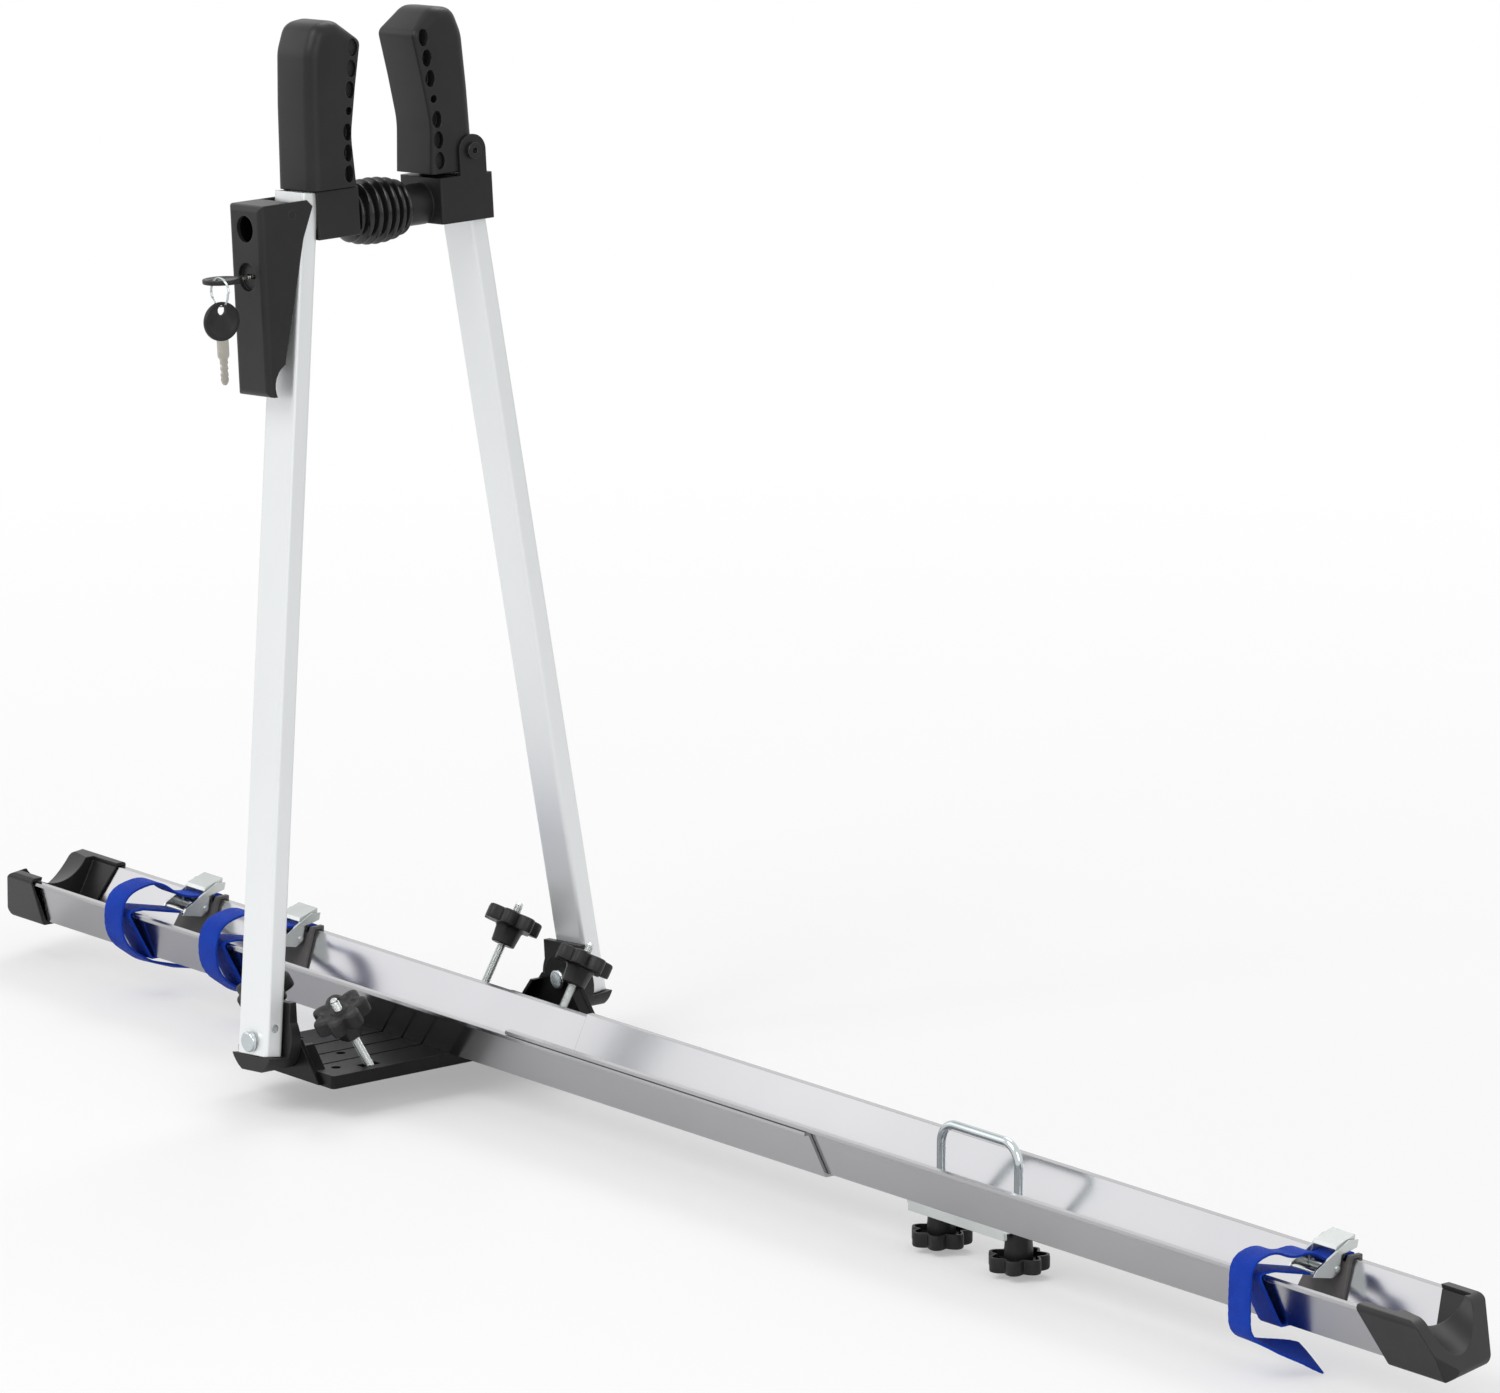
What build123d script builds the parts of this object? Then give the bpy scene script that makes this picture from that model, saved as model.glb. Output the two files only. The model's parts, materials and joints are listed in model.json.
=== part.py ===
"""Roof mounted bike carrier: an aluminium wheel rail in two nested sections on a ribbed
base plate, a folding A-frame with a lever operated frame clamp, three wheel straps with
cam buckles, four swing bolts with star knobs in front and a U-bolt clamp behind.

Millimetres. +X runs along the rail to the rear, +Y across it to the far arm, +Z up.
The origin is on the underside of the base plate, midway between its edges.
"""
import os
from math import atan, cos, degrees, radians, sin, sqrt, tan

from build123d import *

os.makedirs("parts", exist_ok=True)

# %% Shared sizes
run_over = 2.0
fit_gap = 0.3
running_gap = 0.06
edge_round = 1.0

# %% Base plate
plate_width = 108.0
plate_span = 234.0
plate_thickness = 9.0
plate_corner = 3.0
plate_groove_width = 2.0
plate_groove_depth = 1.4
plate_groove_pitch = 22.0
plate_groove_offset = 2.0
plate_hole_radius = 3.2
plate_hole_x = (8.0, 36.0)
plate_hole_insets = (41.0, 16.0)

# %% Rail
rail_bottom = plate_thickness
rail_height = 33.0
rail_bottom_half = 20.0
rail_top_half = 36.0
rail_wall = 2.0
rail_lip_reach = 3.4
rail_lip_thickness = 2.4
front_rail_start = -425.0
front_rail_end = 454.0
rear_rail_start = 138.0
rear_rail_end = 1014.0
joint_screw_x = (273.0, 398.0)
joint_screw_radius = 3.0
joint_head_radius = 6.0
joint_head_height = 2.6
joint_nut_radius = 5.8
joint_nut_height = 5.0

# %% End caps
cap_skin = 2.6
cap_sleeve = 28.0
cap_nose = 35.0
cap_liner = 1.4
cap_round = 3.0
cap_mouth_slant = 18.0
cap_end_slant = 28.0
cap_plan_slant = 18.0
cap_brow_round = 10.0
cap_chin_round = 5.0
cap_saddle_drop = 12.0
cap_saddle_fall = 22.0

# %% Wheel straps and their buckles
strap_places = (-292.0, -182.0, 888.0)
strap_width = 20.0
strap_thickness = 1.6
strap_gap = 0.5
strap_corner = 4.0
tail_rise = 19.0
loose_tail_rise = 15.0
tail_reach = 11.0
tail_under = 8.0
tail_drop = 30.0
pad_top_width = 33.0
pad_bottom_width = 44.0
pad_thickness = 2.0
buckle_width = 25.0
buckle_sheet = 1.6
buckle_pivot_in = 14.8
buckle_pivot_drop = 5.4
buckle_bar_in = 30.5
buckle_reach_in = 20.0
buckle_pin_radius = 2.0
buckle_cam_radius = 4.2
buckle_bar_share = 0.8

# %% Foot brackets of the A-frame
pivot_height = 27.0
bracket_sheet = 3.0
bracket_base_half = 42.0
bracket_shoulder_half = 20.0
bracket_eye_radius = 17.0
bracket_flange = 8.0
bracket_flange_height = 24.0
pivot_bolt_radius = 4.0
pivot_head_radius = 7.0
pivot_head_height = 3.2

# %% A-frame arms
lean_angle = 4.6
rod_height = 543.0
head_centre_y = 69.365
arm_beyond_plate = 20.0
arm_centre_y = plate_span / 2 + arm_beyond_plate
splay_angle = degrees(atan((arm_centre_y - head_centre_y) / rod_height))
arm_width = 32.0
arm_depth = 14.5
arm_wall = 2.0
arm_corner = 3.0
arm_foot_drop = 10.0
arm_over_rod = 20.0
arm_top = rod_height + arm_over_rod
shoe_half = 20.0
shoe_top = 25.0
shoe_radius = 23.0
foot_gap = 1.3
foot_floor_gap = 0.5
cross_pin_height = 9.0
cross_pin_radius = 2.6
tongue_top = 26.0
tongue_half = 13.0
tongue_half_depth = 3.0

# %% Frame clamp
rod_radius = 4.0
block_half = 19.0
block_under_rod = 12.0
block_bottom = rod_height - block_under_rod
block_inner_y = 30.0
jaw_half = 21.0
jaw_over_rod = 21.0
jaw_bottom = rod_height + jaw_over_rod
jaw_height = 110.0
jaw_gap_half = 31.0
jaw_depth = 38.0
jaw_hook = 8.0
jaw_round = 4.0
jaw_rounds = {"tip": 5.0, "crown": 11.0, "shoulder": 15.0}
jaw_shares = {
    "inner foot": (0.0, 0.0, 0.0),
    "waist": (0.03, 0.0, 0.33),
    "palm": (0.0, 0.45, 0.62),
    "tip": (0.0, 1.0, 0.86),
    "crown": (0.42, 0.0, 1.0),
    "shoulder": (0.8, 0.0, 0.95),
    "outer foot": (1.0, 0.0, 0.0),
}
jaw_slot_count = 7
jaw_slot_length = 12.0
jaw_slot_width = 8.0
jaw_slot_small = 5.6
jaw_slot_depth = 6.0
jaw_slot_inset = 6.8
jaw_slot_low_share = 0.08
jaw_slot_run_share = 0.76
jaw_slot_bend_share = 0.3
jaw_slot_low_turn = 16.0
jaw_slot_turn_range = 40.0
boss_y = 64.0
boss_over_rod = 34.0
boss_z = rod_height + boss_over_rod
boss_radius = 11.0
boss_screw_radius = 3.0
boss_screw_head = 5.5
boss_screw_head_height = 2.6
far_block_half = 23.0
far_block_inner_y = 36.0
far_block_outer_y = 80.0
far_block_under_rod = 13.0
far_block_bottom = rod_height - far_block_under_rod
far_block_over_rod = 18.0
far_block_top = rod_height + far_block_over_rod
socket_radius = 14.0
socket_bore = 11.0
socket_reach = 18.0
socket_depth = 44.0
rod_end_gap = 4.0
bellows_bore = 12.0
bellows_root = 18.5
bellows_crest = 23.0
bellows_ribs = 7
bellows_rib_share = 0.3

# %% Clamp lever with its lock
lever_half = 18.2
lever_cheek = 1.7
lever_sheet = 3.0
lever_top_sheet = 2.5
lever_over_rod = 16.0
lever_top = rod_height + lever_over_rod
lever_top_rise = 8.4
lever_lap = 7.0
lever_outer_y = 111.0
lever_tip_outer_y = 113.0
lever_length = 128.0
lever_bottom = lever_top - lever_length
lever_tip_height = 15.0
lever_tip_depth = 8.0
lever_cheek_foot = 21.0
lever_edge = 4.5
lever_pin_radius = 3.0
lever_pin_inset = 9.4
lever_window_radius = 9.0
hinge_block_half = 14.0
hinge_block_drop = 22.0
hinge_eye_radius = 5.5
nut_flange_radius = 7.5
nut_height = 9.0
lock_drop = 48.0
lock_height = lever_top - lock_drop
lock_recess_radius = 9.6
lock_recess_depth = 3.5
lock_housing_radius = 11.4
lock_housing_depth = 19.0
plug_radius = 6.5
plug_slot_width = 3.0
plug_slot_height = 8.6

# %% Keys
key_thickness = 2.2
key_blade_width = 8.0
key_blade_length = 30.0
key_bow_half_width = 14.0
key_bow_half_length = 13.0
key_hole_inset = 5.4
key_hole_radius = 3.3
key_shank = 7.0
ring_radius = 9.6
ring_wire = 0.9
ring_hole_x = -0.5
ring_edge_gap = 2.8

# %% Swing bolts and star knobs
bolt_x = 43.0
bolt_inset = 41.0
bolt_y = plate_span / 2 - bolt_inset
bolt_lean = 31.0
bolt_radius = 3.0
bolt_barrel_radius = 3.6
bolt_barrel_length = 12.0
bolt_slot_width = 7.0
knob_places = {"near_front": 50.0, "near_rear": 50.0, "far_front": 66.0, "far_rear": 54.0}
knob_radius = 20.0
knob_lobes = 7
knob_lobe_radius = 5.4
knob_disc = 10.0
knob_hub_radius = 8.5
knob_hub_length = 13.0
bolt_tip = 8.0

# %% Rear clamp
u_centre_x = 584.0
u_spacing = 76.5
u_radius = 3.2
u_crown_height = 66.0
u_corner = 14.0
clamp_plate_width = 30.0
clamp_plate_thickness = 3.0
clamp_plate_overhang = 18.0
clamp_plate_lip = 8.0
clamp_plate_corner = 3.0
rear_knob_bottom = -18.5


def save(piece, label):
    """Labels a finished piece and writes its file."""
    piece.label = label
    export_step(piece, f"parts/{label}.step")


# %% Planes of the leaning A-frame
lean_x = Vector(cos(radians(lean_angle)), 0, sin(radians(lean_angle)))
lean_up = Vector(-sin(radians(lean_angle)), 0, cos(radians(lean_angle)))
across = Vector(0, 1, 0)
pivot = Vector(0, 0, pivot_height)
width_axis = Axis(pivot, lean_x)
up_axis = Axis(pivot, lean_up)


def frame_point(x, y, z):
    """A point given in the A-frame's own leaning directions, measured from its pivot line."""
    return pivot + lean_x * x + across * y + lean_up * z


def side_plane(x=0.0):
    """Plane square to the A-frame's width: local x runs along +Y, local y up the frame."""
    return Plane(origin=frame_point(x, 0, 0), x_dir=across, z_dir=lean_x)


def face_plane(y=0.0):
    """Plane square to Y, looking along -Y: local x is the frame's width, local y up."""
    return Plane(origin=frame_point(0, y, 0), x_dir=lean_x, z_dir=(0, -1, 0))


def level_plane(z):
    """Plane across the A-frame at a height above the pivot line."""
    return Plane(origin=frame_point(0, 0, z), x_dir=lean_x, z_dir=lean_up)


def arm_plane(side):
    """Plane square to an arm at its foot; side is -1 for the near arm and 1 for the far."""
    splay = radians(splay_angle)
    direction = lean_up * cos(splay) - across * (side * sin(splay))
    return Plane(origin=(0, side * arm_centre_y, pivot_height), x_dir=lean_x, z_dir=direction)


def arm_face_y(z, outer=True):
    """Distance of an arm's outer or inner face from the middle at a height on the frame."""
    splay = radians(splay_angle)
    half = arm_depth / 2 / cos(splay)
    return arm_centre_y - z * tan(splay) + (half if outer else -half)


# %% Base plate with grooves, bolt holes and pockets for the swing bolts
with BuildPart() as base_plate:
    with BuildSketch():
        RectangleRounded(plate_width, plate_span, plate_corner)
    extrude(amount=plate_thickness)
    with BuildSketch(Plane.XY.offset(plate_thickness)):
        with Locations((plate_groove_offset, 0)):
            with GridLocations(plate_groove_pitch, 0, 3, 1):
                Rectangle(plate_groove_width, plate_span + run_over)
    extrude(amount=-plate_groove_depth, mode=Mode.SUBTRACT)
    with BuildSketch():
        for hole_x, hole_inset in zip(plate_hole_x, plate_hole_insets):
            with Locations((hole_x, hole_inset - plate_span / 2), (hole_x, plate_span / 2 - hole_inset)):
                Circle(plate_hole_radius)
    extrude(amount=plate_thickness, mode=Mode.SUBTRACT)
    for side in (-1, 1):
        reach = plate_thickness * tan(radians(bolt_lean)) + bolt_slot_width
        with BuildSketch(Plane.XY.offset(plate_thickness / 2)):
            with Locations((bolt_x, side * (bolt_y + reach / 4)), (-bolt_x, side * (bolt_y + reach / 4))):
                Rectangle(bolt_slot_width, reach + bolt_slot_width / 2)
        extrude(amount=plate_thickness, mode=Mode.SUBTRACT)
        for x in (-bolt_x, bolt_x):
            pocket = bolt_barrel_length + 2 * fit_gap
            seat = Plane(origin=(x - pocket / 2, side * bolt_y, plate_thickness / 2), z_dir=(1, 0, 0))
            with BuildSketch(seat):
                Circle(bolt_barrel_radius + running_gap)
            extrude(amount=pocket, mode=Mode.SUBTRACT)
            with BuildSketch():
                with Locations((x, side * bolt_y)):
                    Rectangle(pocket, 2 * (bolt_barrel_radius + running_gap))
            extrude(amount=plate_thickness / 2, mode=Mode.SUBTRACT)
save(base_plate.part, "base_plate")


# %% Wheel rail in two nested sections
rail_slope = (rail_top_half - rail_bottom_half) / rail_height
wall_across = rail_wall * sqrt(1 + rail_slope**2)
nest_up = rail_wall + fit_gap


def rail_section(start, end, rise, label):
    """An open channel with flared walls and lips; rise lifts the section that lies inside."""
    floor = rail_bottom + rise
    inset = rise * sqrt(1 + rail_slope**2) - rise * rail_slope
    rim = rail_bottom + rail_height + (rail_lip_thickness + fit_gap if rise else 0.0)
    low = rail_bottom_half - inset
    high = low + (rim - floor) * rail_slope
    under_lip = high - rail_lip_thickness * rail_slope
    right = [
        (low, floor),
        (under_lip, rim - rail_lip_thickness),
        (under_lip + rail_lip_reach, rim - rail_lip_thickness),
        (under_lip + rail_lip_reach, rim),
        (high - wall_across, rim),
        (low + rail_wall * rail_slope - wall_across, floor + rail_wall),
    ]
    left = [(-y, z) for y, z in reversed(right)]
    with BuildPart() as section:
        with BuildSketch(Plane.YZ.offset(start)):
            with BuildLine():
                Polyline(*right, *left, close=True)
            make_face()
        extrude(amount=end - start)
        holes = [x for x in joint_screw_x if start < x < end]
        with BuildSketch(Plane.XY.offset(floor)):
            with Locations(*[(x, 0) for x in holes]):
                Circle(joint_screw_radius)
        extrude(amount=rail_wall, mode=Mode.SUBTRACT)
        if rise:
            with BuildSketch(Plane.XY.offset(floor)):
                with Locations((u_centre_x, 0)):
                    with GridLocations(u_spacing, 0, 2, 1):
                        Circle(u_radius + fit_gap)
            extrude(amount=rail_wall, mode=Mode.SUBTRACT)
    save(section.part, label)


rail_section(front_rail_start, front_rail_end, 0.0, "front_rail")
rail_section(rear_rail_start, rear_rail_end, nest_up, "rear_rail")

# %% Screws and nuts that join the two rail sections
screw_top = rail_bottom + nest_up + rail_wall
with BuildPart() as joint_screws:
    with BuildSketch(Plane.XY.offset(screw_top)):
        with Locations(*[(x, 0) for x in joint_screw_x]):
            Circle(joint_head_radius)
    extrude(amount=joint_head_height)
    fillet(joint_screws.edges().group_by(Axis.Z)[-1], joint_head_height / 2)
    with BuildSketch(Plane.XY.offset(screw_top)):
        with Locations(*[(x, 0) for x in joint_screw_x]):
            Circle(joint_screw_radius)
    extrude(amount=-(screw_top - rail_bottom + joint_nut_height))
save(joint_screws.part, "rail_joint_screws")

with BuildPart() as joint_nuts:
    with BuildSketch(Plane.XY.offset(rail_bottom)):
        with Locations(*[(x, 0) for x in joint_screw_x]):
            RegularPolygon(joint_nut_radius, 6)
            Circle(joint_screw_radius, mode=Mode.SUBTRACT)
    extrude(amount=-joint_nut_height)
save(joint_nuts.part, "rail_joint_nuts")


# %% End caps with a lobe over each lip and a low saddle between
def cap_outline(grow, floor, rim, low, high):
    """Corner points of the cap's cross section, grown outwards from the rail's."""
    return [
        (-low - grow, floor - grow),
        (low + grow, floor - grow),
        (high + grow, rim + grow),
        (-high - grow, rim + grow),
    ]


def end_cap(mouth, facing, rise, label):
    """A scooped cap; facing is 1 at the rear end and -1 at the front end."""
    floor = rail_bottom + rise
    rim = rail_bottom + rail_height + (rail_lip_thickness + fit_gap if rise else 0.0)
    low = rail_bottom_half
    under = rim - rail_lip_thickness
    lip = rail_top_half + rail_lip_reach - (rail_lip_thickness + rise) * rail_slope
    high = low + (lip - low) * (rim - floor) / (under - floor)
    plane = Plane(origin=(mouth, 0, 0), x_dir=(0, facing, 0), z_dir=(facing, 0, 0))
    length = cap_sleeve + cap_nose
    grow = fit_gap + cap_skin
    with BuildPart() as cap:
        with BuildSketch(plane):
            with BuildLine():
                Polyline(*cap_outline(grow, floor, rim, low, high), close=True)
            make_face()
            fillet(vertices(), cap_round)
        extrude(amount=length)
        # the rail's own space, open upwards between the lobes
        with BuildSketch(plane):
            with BuildLine():
                Polyline(*cap_outline(fit_gap, floor, rim, low, high), close=True)
            make_face()
        extrude(amount=cap_sleeve + fit_gap, mode=Mode.SUBTRACT)
        # a thin lining inside the rail, then the open channel through it
        nested = low - rise * (sqrt(1 + rail_slope**2) - rail_slope)
        inside = nested + rail_wall * rail_slope - wall_across - fit_gap
        inside_top = inside + (rim - floor - rail_wall) * rail_slope
        with BuildSketch(plane):
            with BuildLine():
                Polyline(
                    (-inside, floor + rail_wall + fit_gap),
                    (inside, floor + rail_wall + fit_gap),
                    (inside_top, rim),
                    (-inside_top, rim),
                    close=True,
                )
            make_face()
        extrude(amount=cap_sleeve + run_over)
        with BuildSketch(plane):
            with BuildLine():
                Polyline(
                    (-inside + cap_liner, floor + rail_wall + fit_gap + cap_liner),
                    (inside - cap_liner, floor + rail_wall + fit_gap + cap_liner),
                    (inside_top - cap_liner, rim),
                    (inside_top - cap_liner, rim + grow + run_over),
                    (-inside_top + cap_liner, rim + grow + run_over),
                    (-inside_top + cap_liner, rim),
                    close=True,
                )
            make_face()
        extrude(amount=cap_sleeve, mode=Mode.SUBTRACT)
        # a round saddle falls outwards through the solid nose
        saddle_half = high - rail_lip_reach - 2 * cap_skin
        heading = Vector(facing, 0, -tan(radians(cap_saddle_fall)))
        saddle = Vector(mouth + facing * cap_sleeve, 0, rim + grow - cap_saddle_drop + saddle_half)
        with BuildSketch(Plane(origin=saddle - heading * length, z_dir=heading)):
            Circle(saddle_half)
        extrude(amount=4 * length, mode=Mode.SUBTRACT)
        # the mouth slopes, and the end is a bow that slants in side view and in plan
        tall = rim - floor + 2 * grow
        width = 2 * (high + grow + run_over)
        corner = Vector(mouth, facing * width / 2, floor - grow)
        with BuildSketch(Plane(origin=corner, x_dir=(facing, 0, 0), z_dir=(0, -facing, 0))):
            with BuildLine():
                Polyline((0, 0), (tall * tan(radians(cap_mouth_slant)), 0), (0, tall), close=True)
            make_face()
        extrude(amount=width, mode=Mode.SUBTRACT)
        slant = radians(cap_plan_slant)
        outward = Vector(facing * cos(slant), facing * sin(slant), 0)
        sideways = Vector(facing * sin(slant), -facing * cos(slant), 0)
        end_foot = Vector(mouth + facing * length, 0, floor - grow)
        with BuildSketch(Plane(origin=end_foot - sideways * width, x_dir=outward, z_dir=sideways)):
            with BuildLine():
                back = tall * tan(radians(cap_end_slant))
                Polyline((-2 * length, 0), (0, 0), (-back, tall), (-2 * length, tall), close=True)
            make_face()
            fillet(vertices().sort_by_distance(Vector(-back, tall))[0], cap_brow_round)
            fillet(vertices().sort_by_distance(Vector(0, 0))[0], cap_chin_round)
        extrude(amount=2 * width, mode=Mode.INTERSECT)
    save(cap.part, label)


end_cap(front_rail_start + cap_sleeve, -1, 0.0, "front_end_cap")
end_cap(rear_rail_end - cap_sleeve, 1, nest_up, "rear_end_cap")

# %% Wheel straps: one webbing each, sewn to its buckle, round the rail and out through the cam
lip_y = rail_top_half + rail_lip_reach - rail_lip_thickness * rail_slope
front_rim = rail_bottom + rail_height
rear_rim = front_rim + rail_lip_thickness + fit_gap
strap_off = strap_gap + strap_thickness / 2


def rail_at(x):
    """Floor and rim heights, and half the lip width, of the rail section that shows at x."""
    if x < rear_rail_start:
        return rail_bottom, front_rim, lip_y
    return rail_bottom + nest_up, rear_rim, lip_y - nest_up * rail_slope


def strap_route(x, loose):
    """Corner points and corner radii of a strap in its own plane across the rail."""
    floor, rim, lip = rail_at(x)
    rise = loose_tail_rise if loose else tail_rise
    edge = rail_bottom_half + strap_off
    points = [
        (lip - buckle_bar_in - 2 * buckle_pin_radius, rim - buckle_pivot_drop),
        (-lip + 3 * rail_lip_reach, rim + strap_off + fit_gap),
        (-lip - strap_off, rim + strap_off + fit_gap),
        (-lip - strap_off, rim - rail_lip_thickness),
        (-edge, floor - strap_off),
        (edge, floor - strap_off),
        (lip + strap_off, rim - rail_lip_thickness),
        (lip + strap_off, rim + strap_off + fit_gap),
        (lip - buckle_pivot_in + 4 * strap_thickness, rim + buckle_pin_radius),
        (lip - buckle_bar_in - 2 * buckle_pin_radius, rim + rise / 3),
        (-lip / 2, rim + rise),
        (-lip - tail_reach, rim + rise / 2),
        (-lip - tail_reach, floor + tail_under),
        (-edge - tail_under, floor - tail_under),
    ]
    if loose:
        points += [(-tail_under, floor - tail_drop + tail_under), (edge, floor - tail_drop)]
    else:
        points += [(0, floor - tail_under)]
    radii = [strap_corner] + [strap_corner / 4] * 6 + [strap_corner] * 2 + [4 * strap_corner] * 4
    radii += [2 * strap_corner] * (len(points) - 2 - len(radii))
    return points, radii


for number, place in enumerate(strap_places, 1):
    points, radii = strap_route(place, loose=place > rear_rail_start)
    floor, rim, lip = rail_at(place)
    with BuildPart() as strap:
        with BuildSketch(Plane.YZ.offset(place - strap_width / 2)):
            with BuildLine():
                FilletPolyline(*points, radius=radii)
            trace(line_width=strap_thickness)
        extrude(amount=strap_width)
    save(strap.part, f"wheel_strap_{number}")

    # grey pad that lines the far wall and hooks over the lip beside the strap
    wall_y = lip - rail_lip_reach + rail_lip_thickness * rail_slope - wall_across - fit_gap
    low = floor + rail_wall + 2 * pad_thickness
    low_y = wall_y - (rim - low) * rail_slope
    with BuildPart() as pad:
        with BuildSketch(Plane.YZ.offset(place - pad_bottom_width / 2)):
            with BuildLine():
                Polyline(
                    (low_y - pad_thickness, low),
                    (low_y, low),
                    (wall_y, rim),
                    (wall_y, rim + fit_gap),
                    (lip + fit_gap, rim + fit_gap),
                    (lip + fit_gap, rim - rail_lip_thickness),
                    (lip + fit_gap + pad_thickness, rim - rail_lip_thickness),
                    (lip + fit_gap + pad_thickness, rim + fit_gap + pad_thickness),
                    (wall_y - pad_thickness, rim + fit_gap + pad_thickness),
                    close=True,
                )
            make_face()
        extrude(amount=pad_bottom_width)
        # the pad widens downwards
        for turn in (-1, 1):
            with BuildSketch(Plane.XZ.offset(-lip - 2 * pad_bottom_width)):
                with BuildLine():
                    Polyline(
                        (place + turn * pad_top_width / 2, rim - rail_lip_thickness),
                        (place + turn * pad_bottom_width / 2, low),
                        (place + turn * pad_bottom_width, low),
                        (place + turn * pad_bottom_width, rim + pad_bottom_width),
                        (place + turn * pad_top_width / 2, rim + pad_bottom_width),
                        close=True,
                    )
                make_face()
            extrude(amount=4 * pad_bottom_width, mode=Mode.SUBTRACT)
        with BuildSketch(Plane.YZ.offset(place - buckle_width / 2 - fit_gap)):
            with Locations((lip, rim + pad_thickness)):
                Rectangle(2 * (lip - wall_y + 2 * pad_thickness), 2 * pad_thickness + 2 * rail_lip_thickness)
        extrude(amount=buckle_width + 2 * fit_gap, mode=Mode.SUBTRACT)
    save(pad.part, f"strap_pad_{number}")

    # buckle: side cheeks and a base bar, a cam lever between them, and its pin
    pin_y = lip - buckle_pivot_in
    pin_z = rim - buckle_pivot_drop
    reach = buckle_reach_in
    cheek_shares = [
        (-1.0, -0.1), (-0.85, 0.12), (0.5, 0.84), (0.86, 0.8),
        (0.8, 0.56), (0.16, 0.42), (0.1, -0.1), (-0.2, -0.26),
    ]
    with BuildPart() as buckle:
        with BuildSketch(Plane.YZ.offset(place - buckle_width / 2)):
            with BuildLine():
                Polyline(*[(pin_y + a * reach, pin_z + b * reach) for a, b in cheek_shares], close=True)
            make_face()
        extrude(amount=buckle_width)
        with BuildSketch(Plane.YZ.offset(place - buckle_width / 2 + buckle_sheet)):
            with Locations((pin_y, pin_z)):
                Rectangle(4 * reach, 4 * reach)
        extrude(amount=buckle_width - 2 * buckle_sheet, mode=Mode.SUBTRACT)
        with BuildSketch(Plane.YZ.offset(place - buckle_width / 2)):
            with Locations((lip - buckle_bar_in, pin_z)):
                Circle(buckle_pin_radius * buckle_bar_share)
        extrude(amount=buckle_width)
        with BuildSketch(Plane.YZ.offset(place - buckle_width / 2)):
            with Locations((pin_y, pin_z)):
                Circle(buckle_pin_radius)
        extrude(amount=buckle_width, mode=Mode.SUBTRACT)
    save(buckle.part, f"buckle_frame_{number}")

    with BuildPart() as buckle_pin:
        with BuildSketch(Plane.YZ.offset(place - buckle_width / 2 - buckle_sheet / 2)):
            with Locations((pin_y, pin_z)):
                Circle(buckle_pin_radius)
        extrude(amount=buckle_width + buckle_sheet)
    save(buckle_pin.part, f"buckle_pin_{number}")

    inner = buckle_width / 2 - buckle_sheet - fit_gap
    arm_shares = [(-0.12, -0.12), (0.02, -0.12), (0.8, 0.84), (0.8, 0.96), (0.05, 0.72), (-0.15, 0.1)]
    window_shares = [(-1.0, -1.0), (2.0, -1.0), (2.0, 1.1), (0.8, 0.84), (0.1, 0.62), (-1.0, 0.24)]
    with BuildPart() as cam_lever:
        with BuildSketch(Plane.YZ.offset(place - inner)):
            with BuildLine():
                Polyline(*[(pin_y + a * reach, pin_z + b * reach) for a, b in arm_shares], close=True)
            make_face()
        extrude(amount=2 * inner)
        with BuildSketch(Plane.YZ.offset(place - strap_width / 2 - fit_gap)):
            with BuildLine():
                Polyline(*[(pin_y + a * reach, pin_z + b * reach) for a, b in window_shares], close=True)
            make_face()
        extrude(amount=strap_width + 2 * fit_gap, mode=Mode.SUBTRACT)
        with BuildSketch(Plane.YZ.offset(place - inner)):
            with Locations((pin_y, pin_z)):
                Circle(buckle_cam_radius * buckle_bar_share)
        extrude(amount=2 * inner)
        with BuildSketch(Plane.YZ.offset(place - inner)):
            with Locations((pin_y, pin_z)):
                Circle(buckle_pin_radius + running_gap)
        extrude(amount=2 * inner, mode=Mode.SUBTRACT)
    save(cam_lever.part, f"buckle_lever_{number}")


# %% Feet of the A-frame: steel brackets, plastic shoes, pivot bolts and cross pins
bracket_face_y = plate_span / 2
shoe_face_y = bracket_face_y + bracket_sheet + fit_gap

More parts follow.
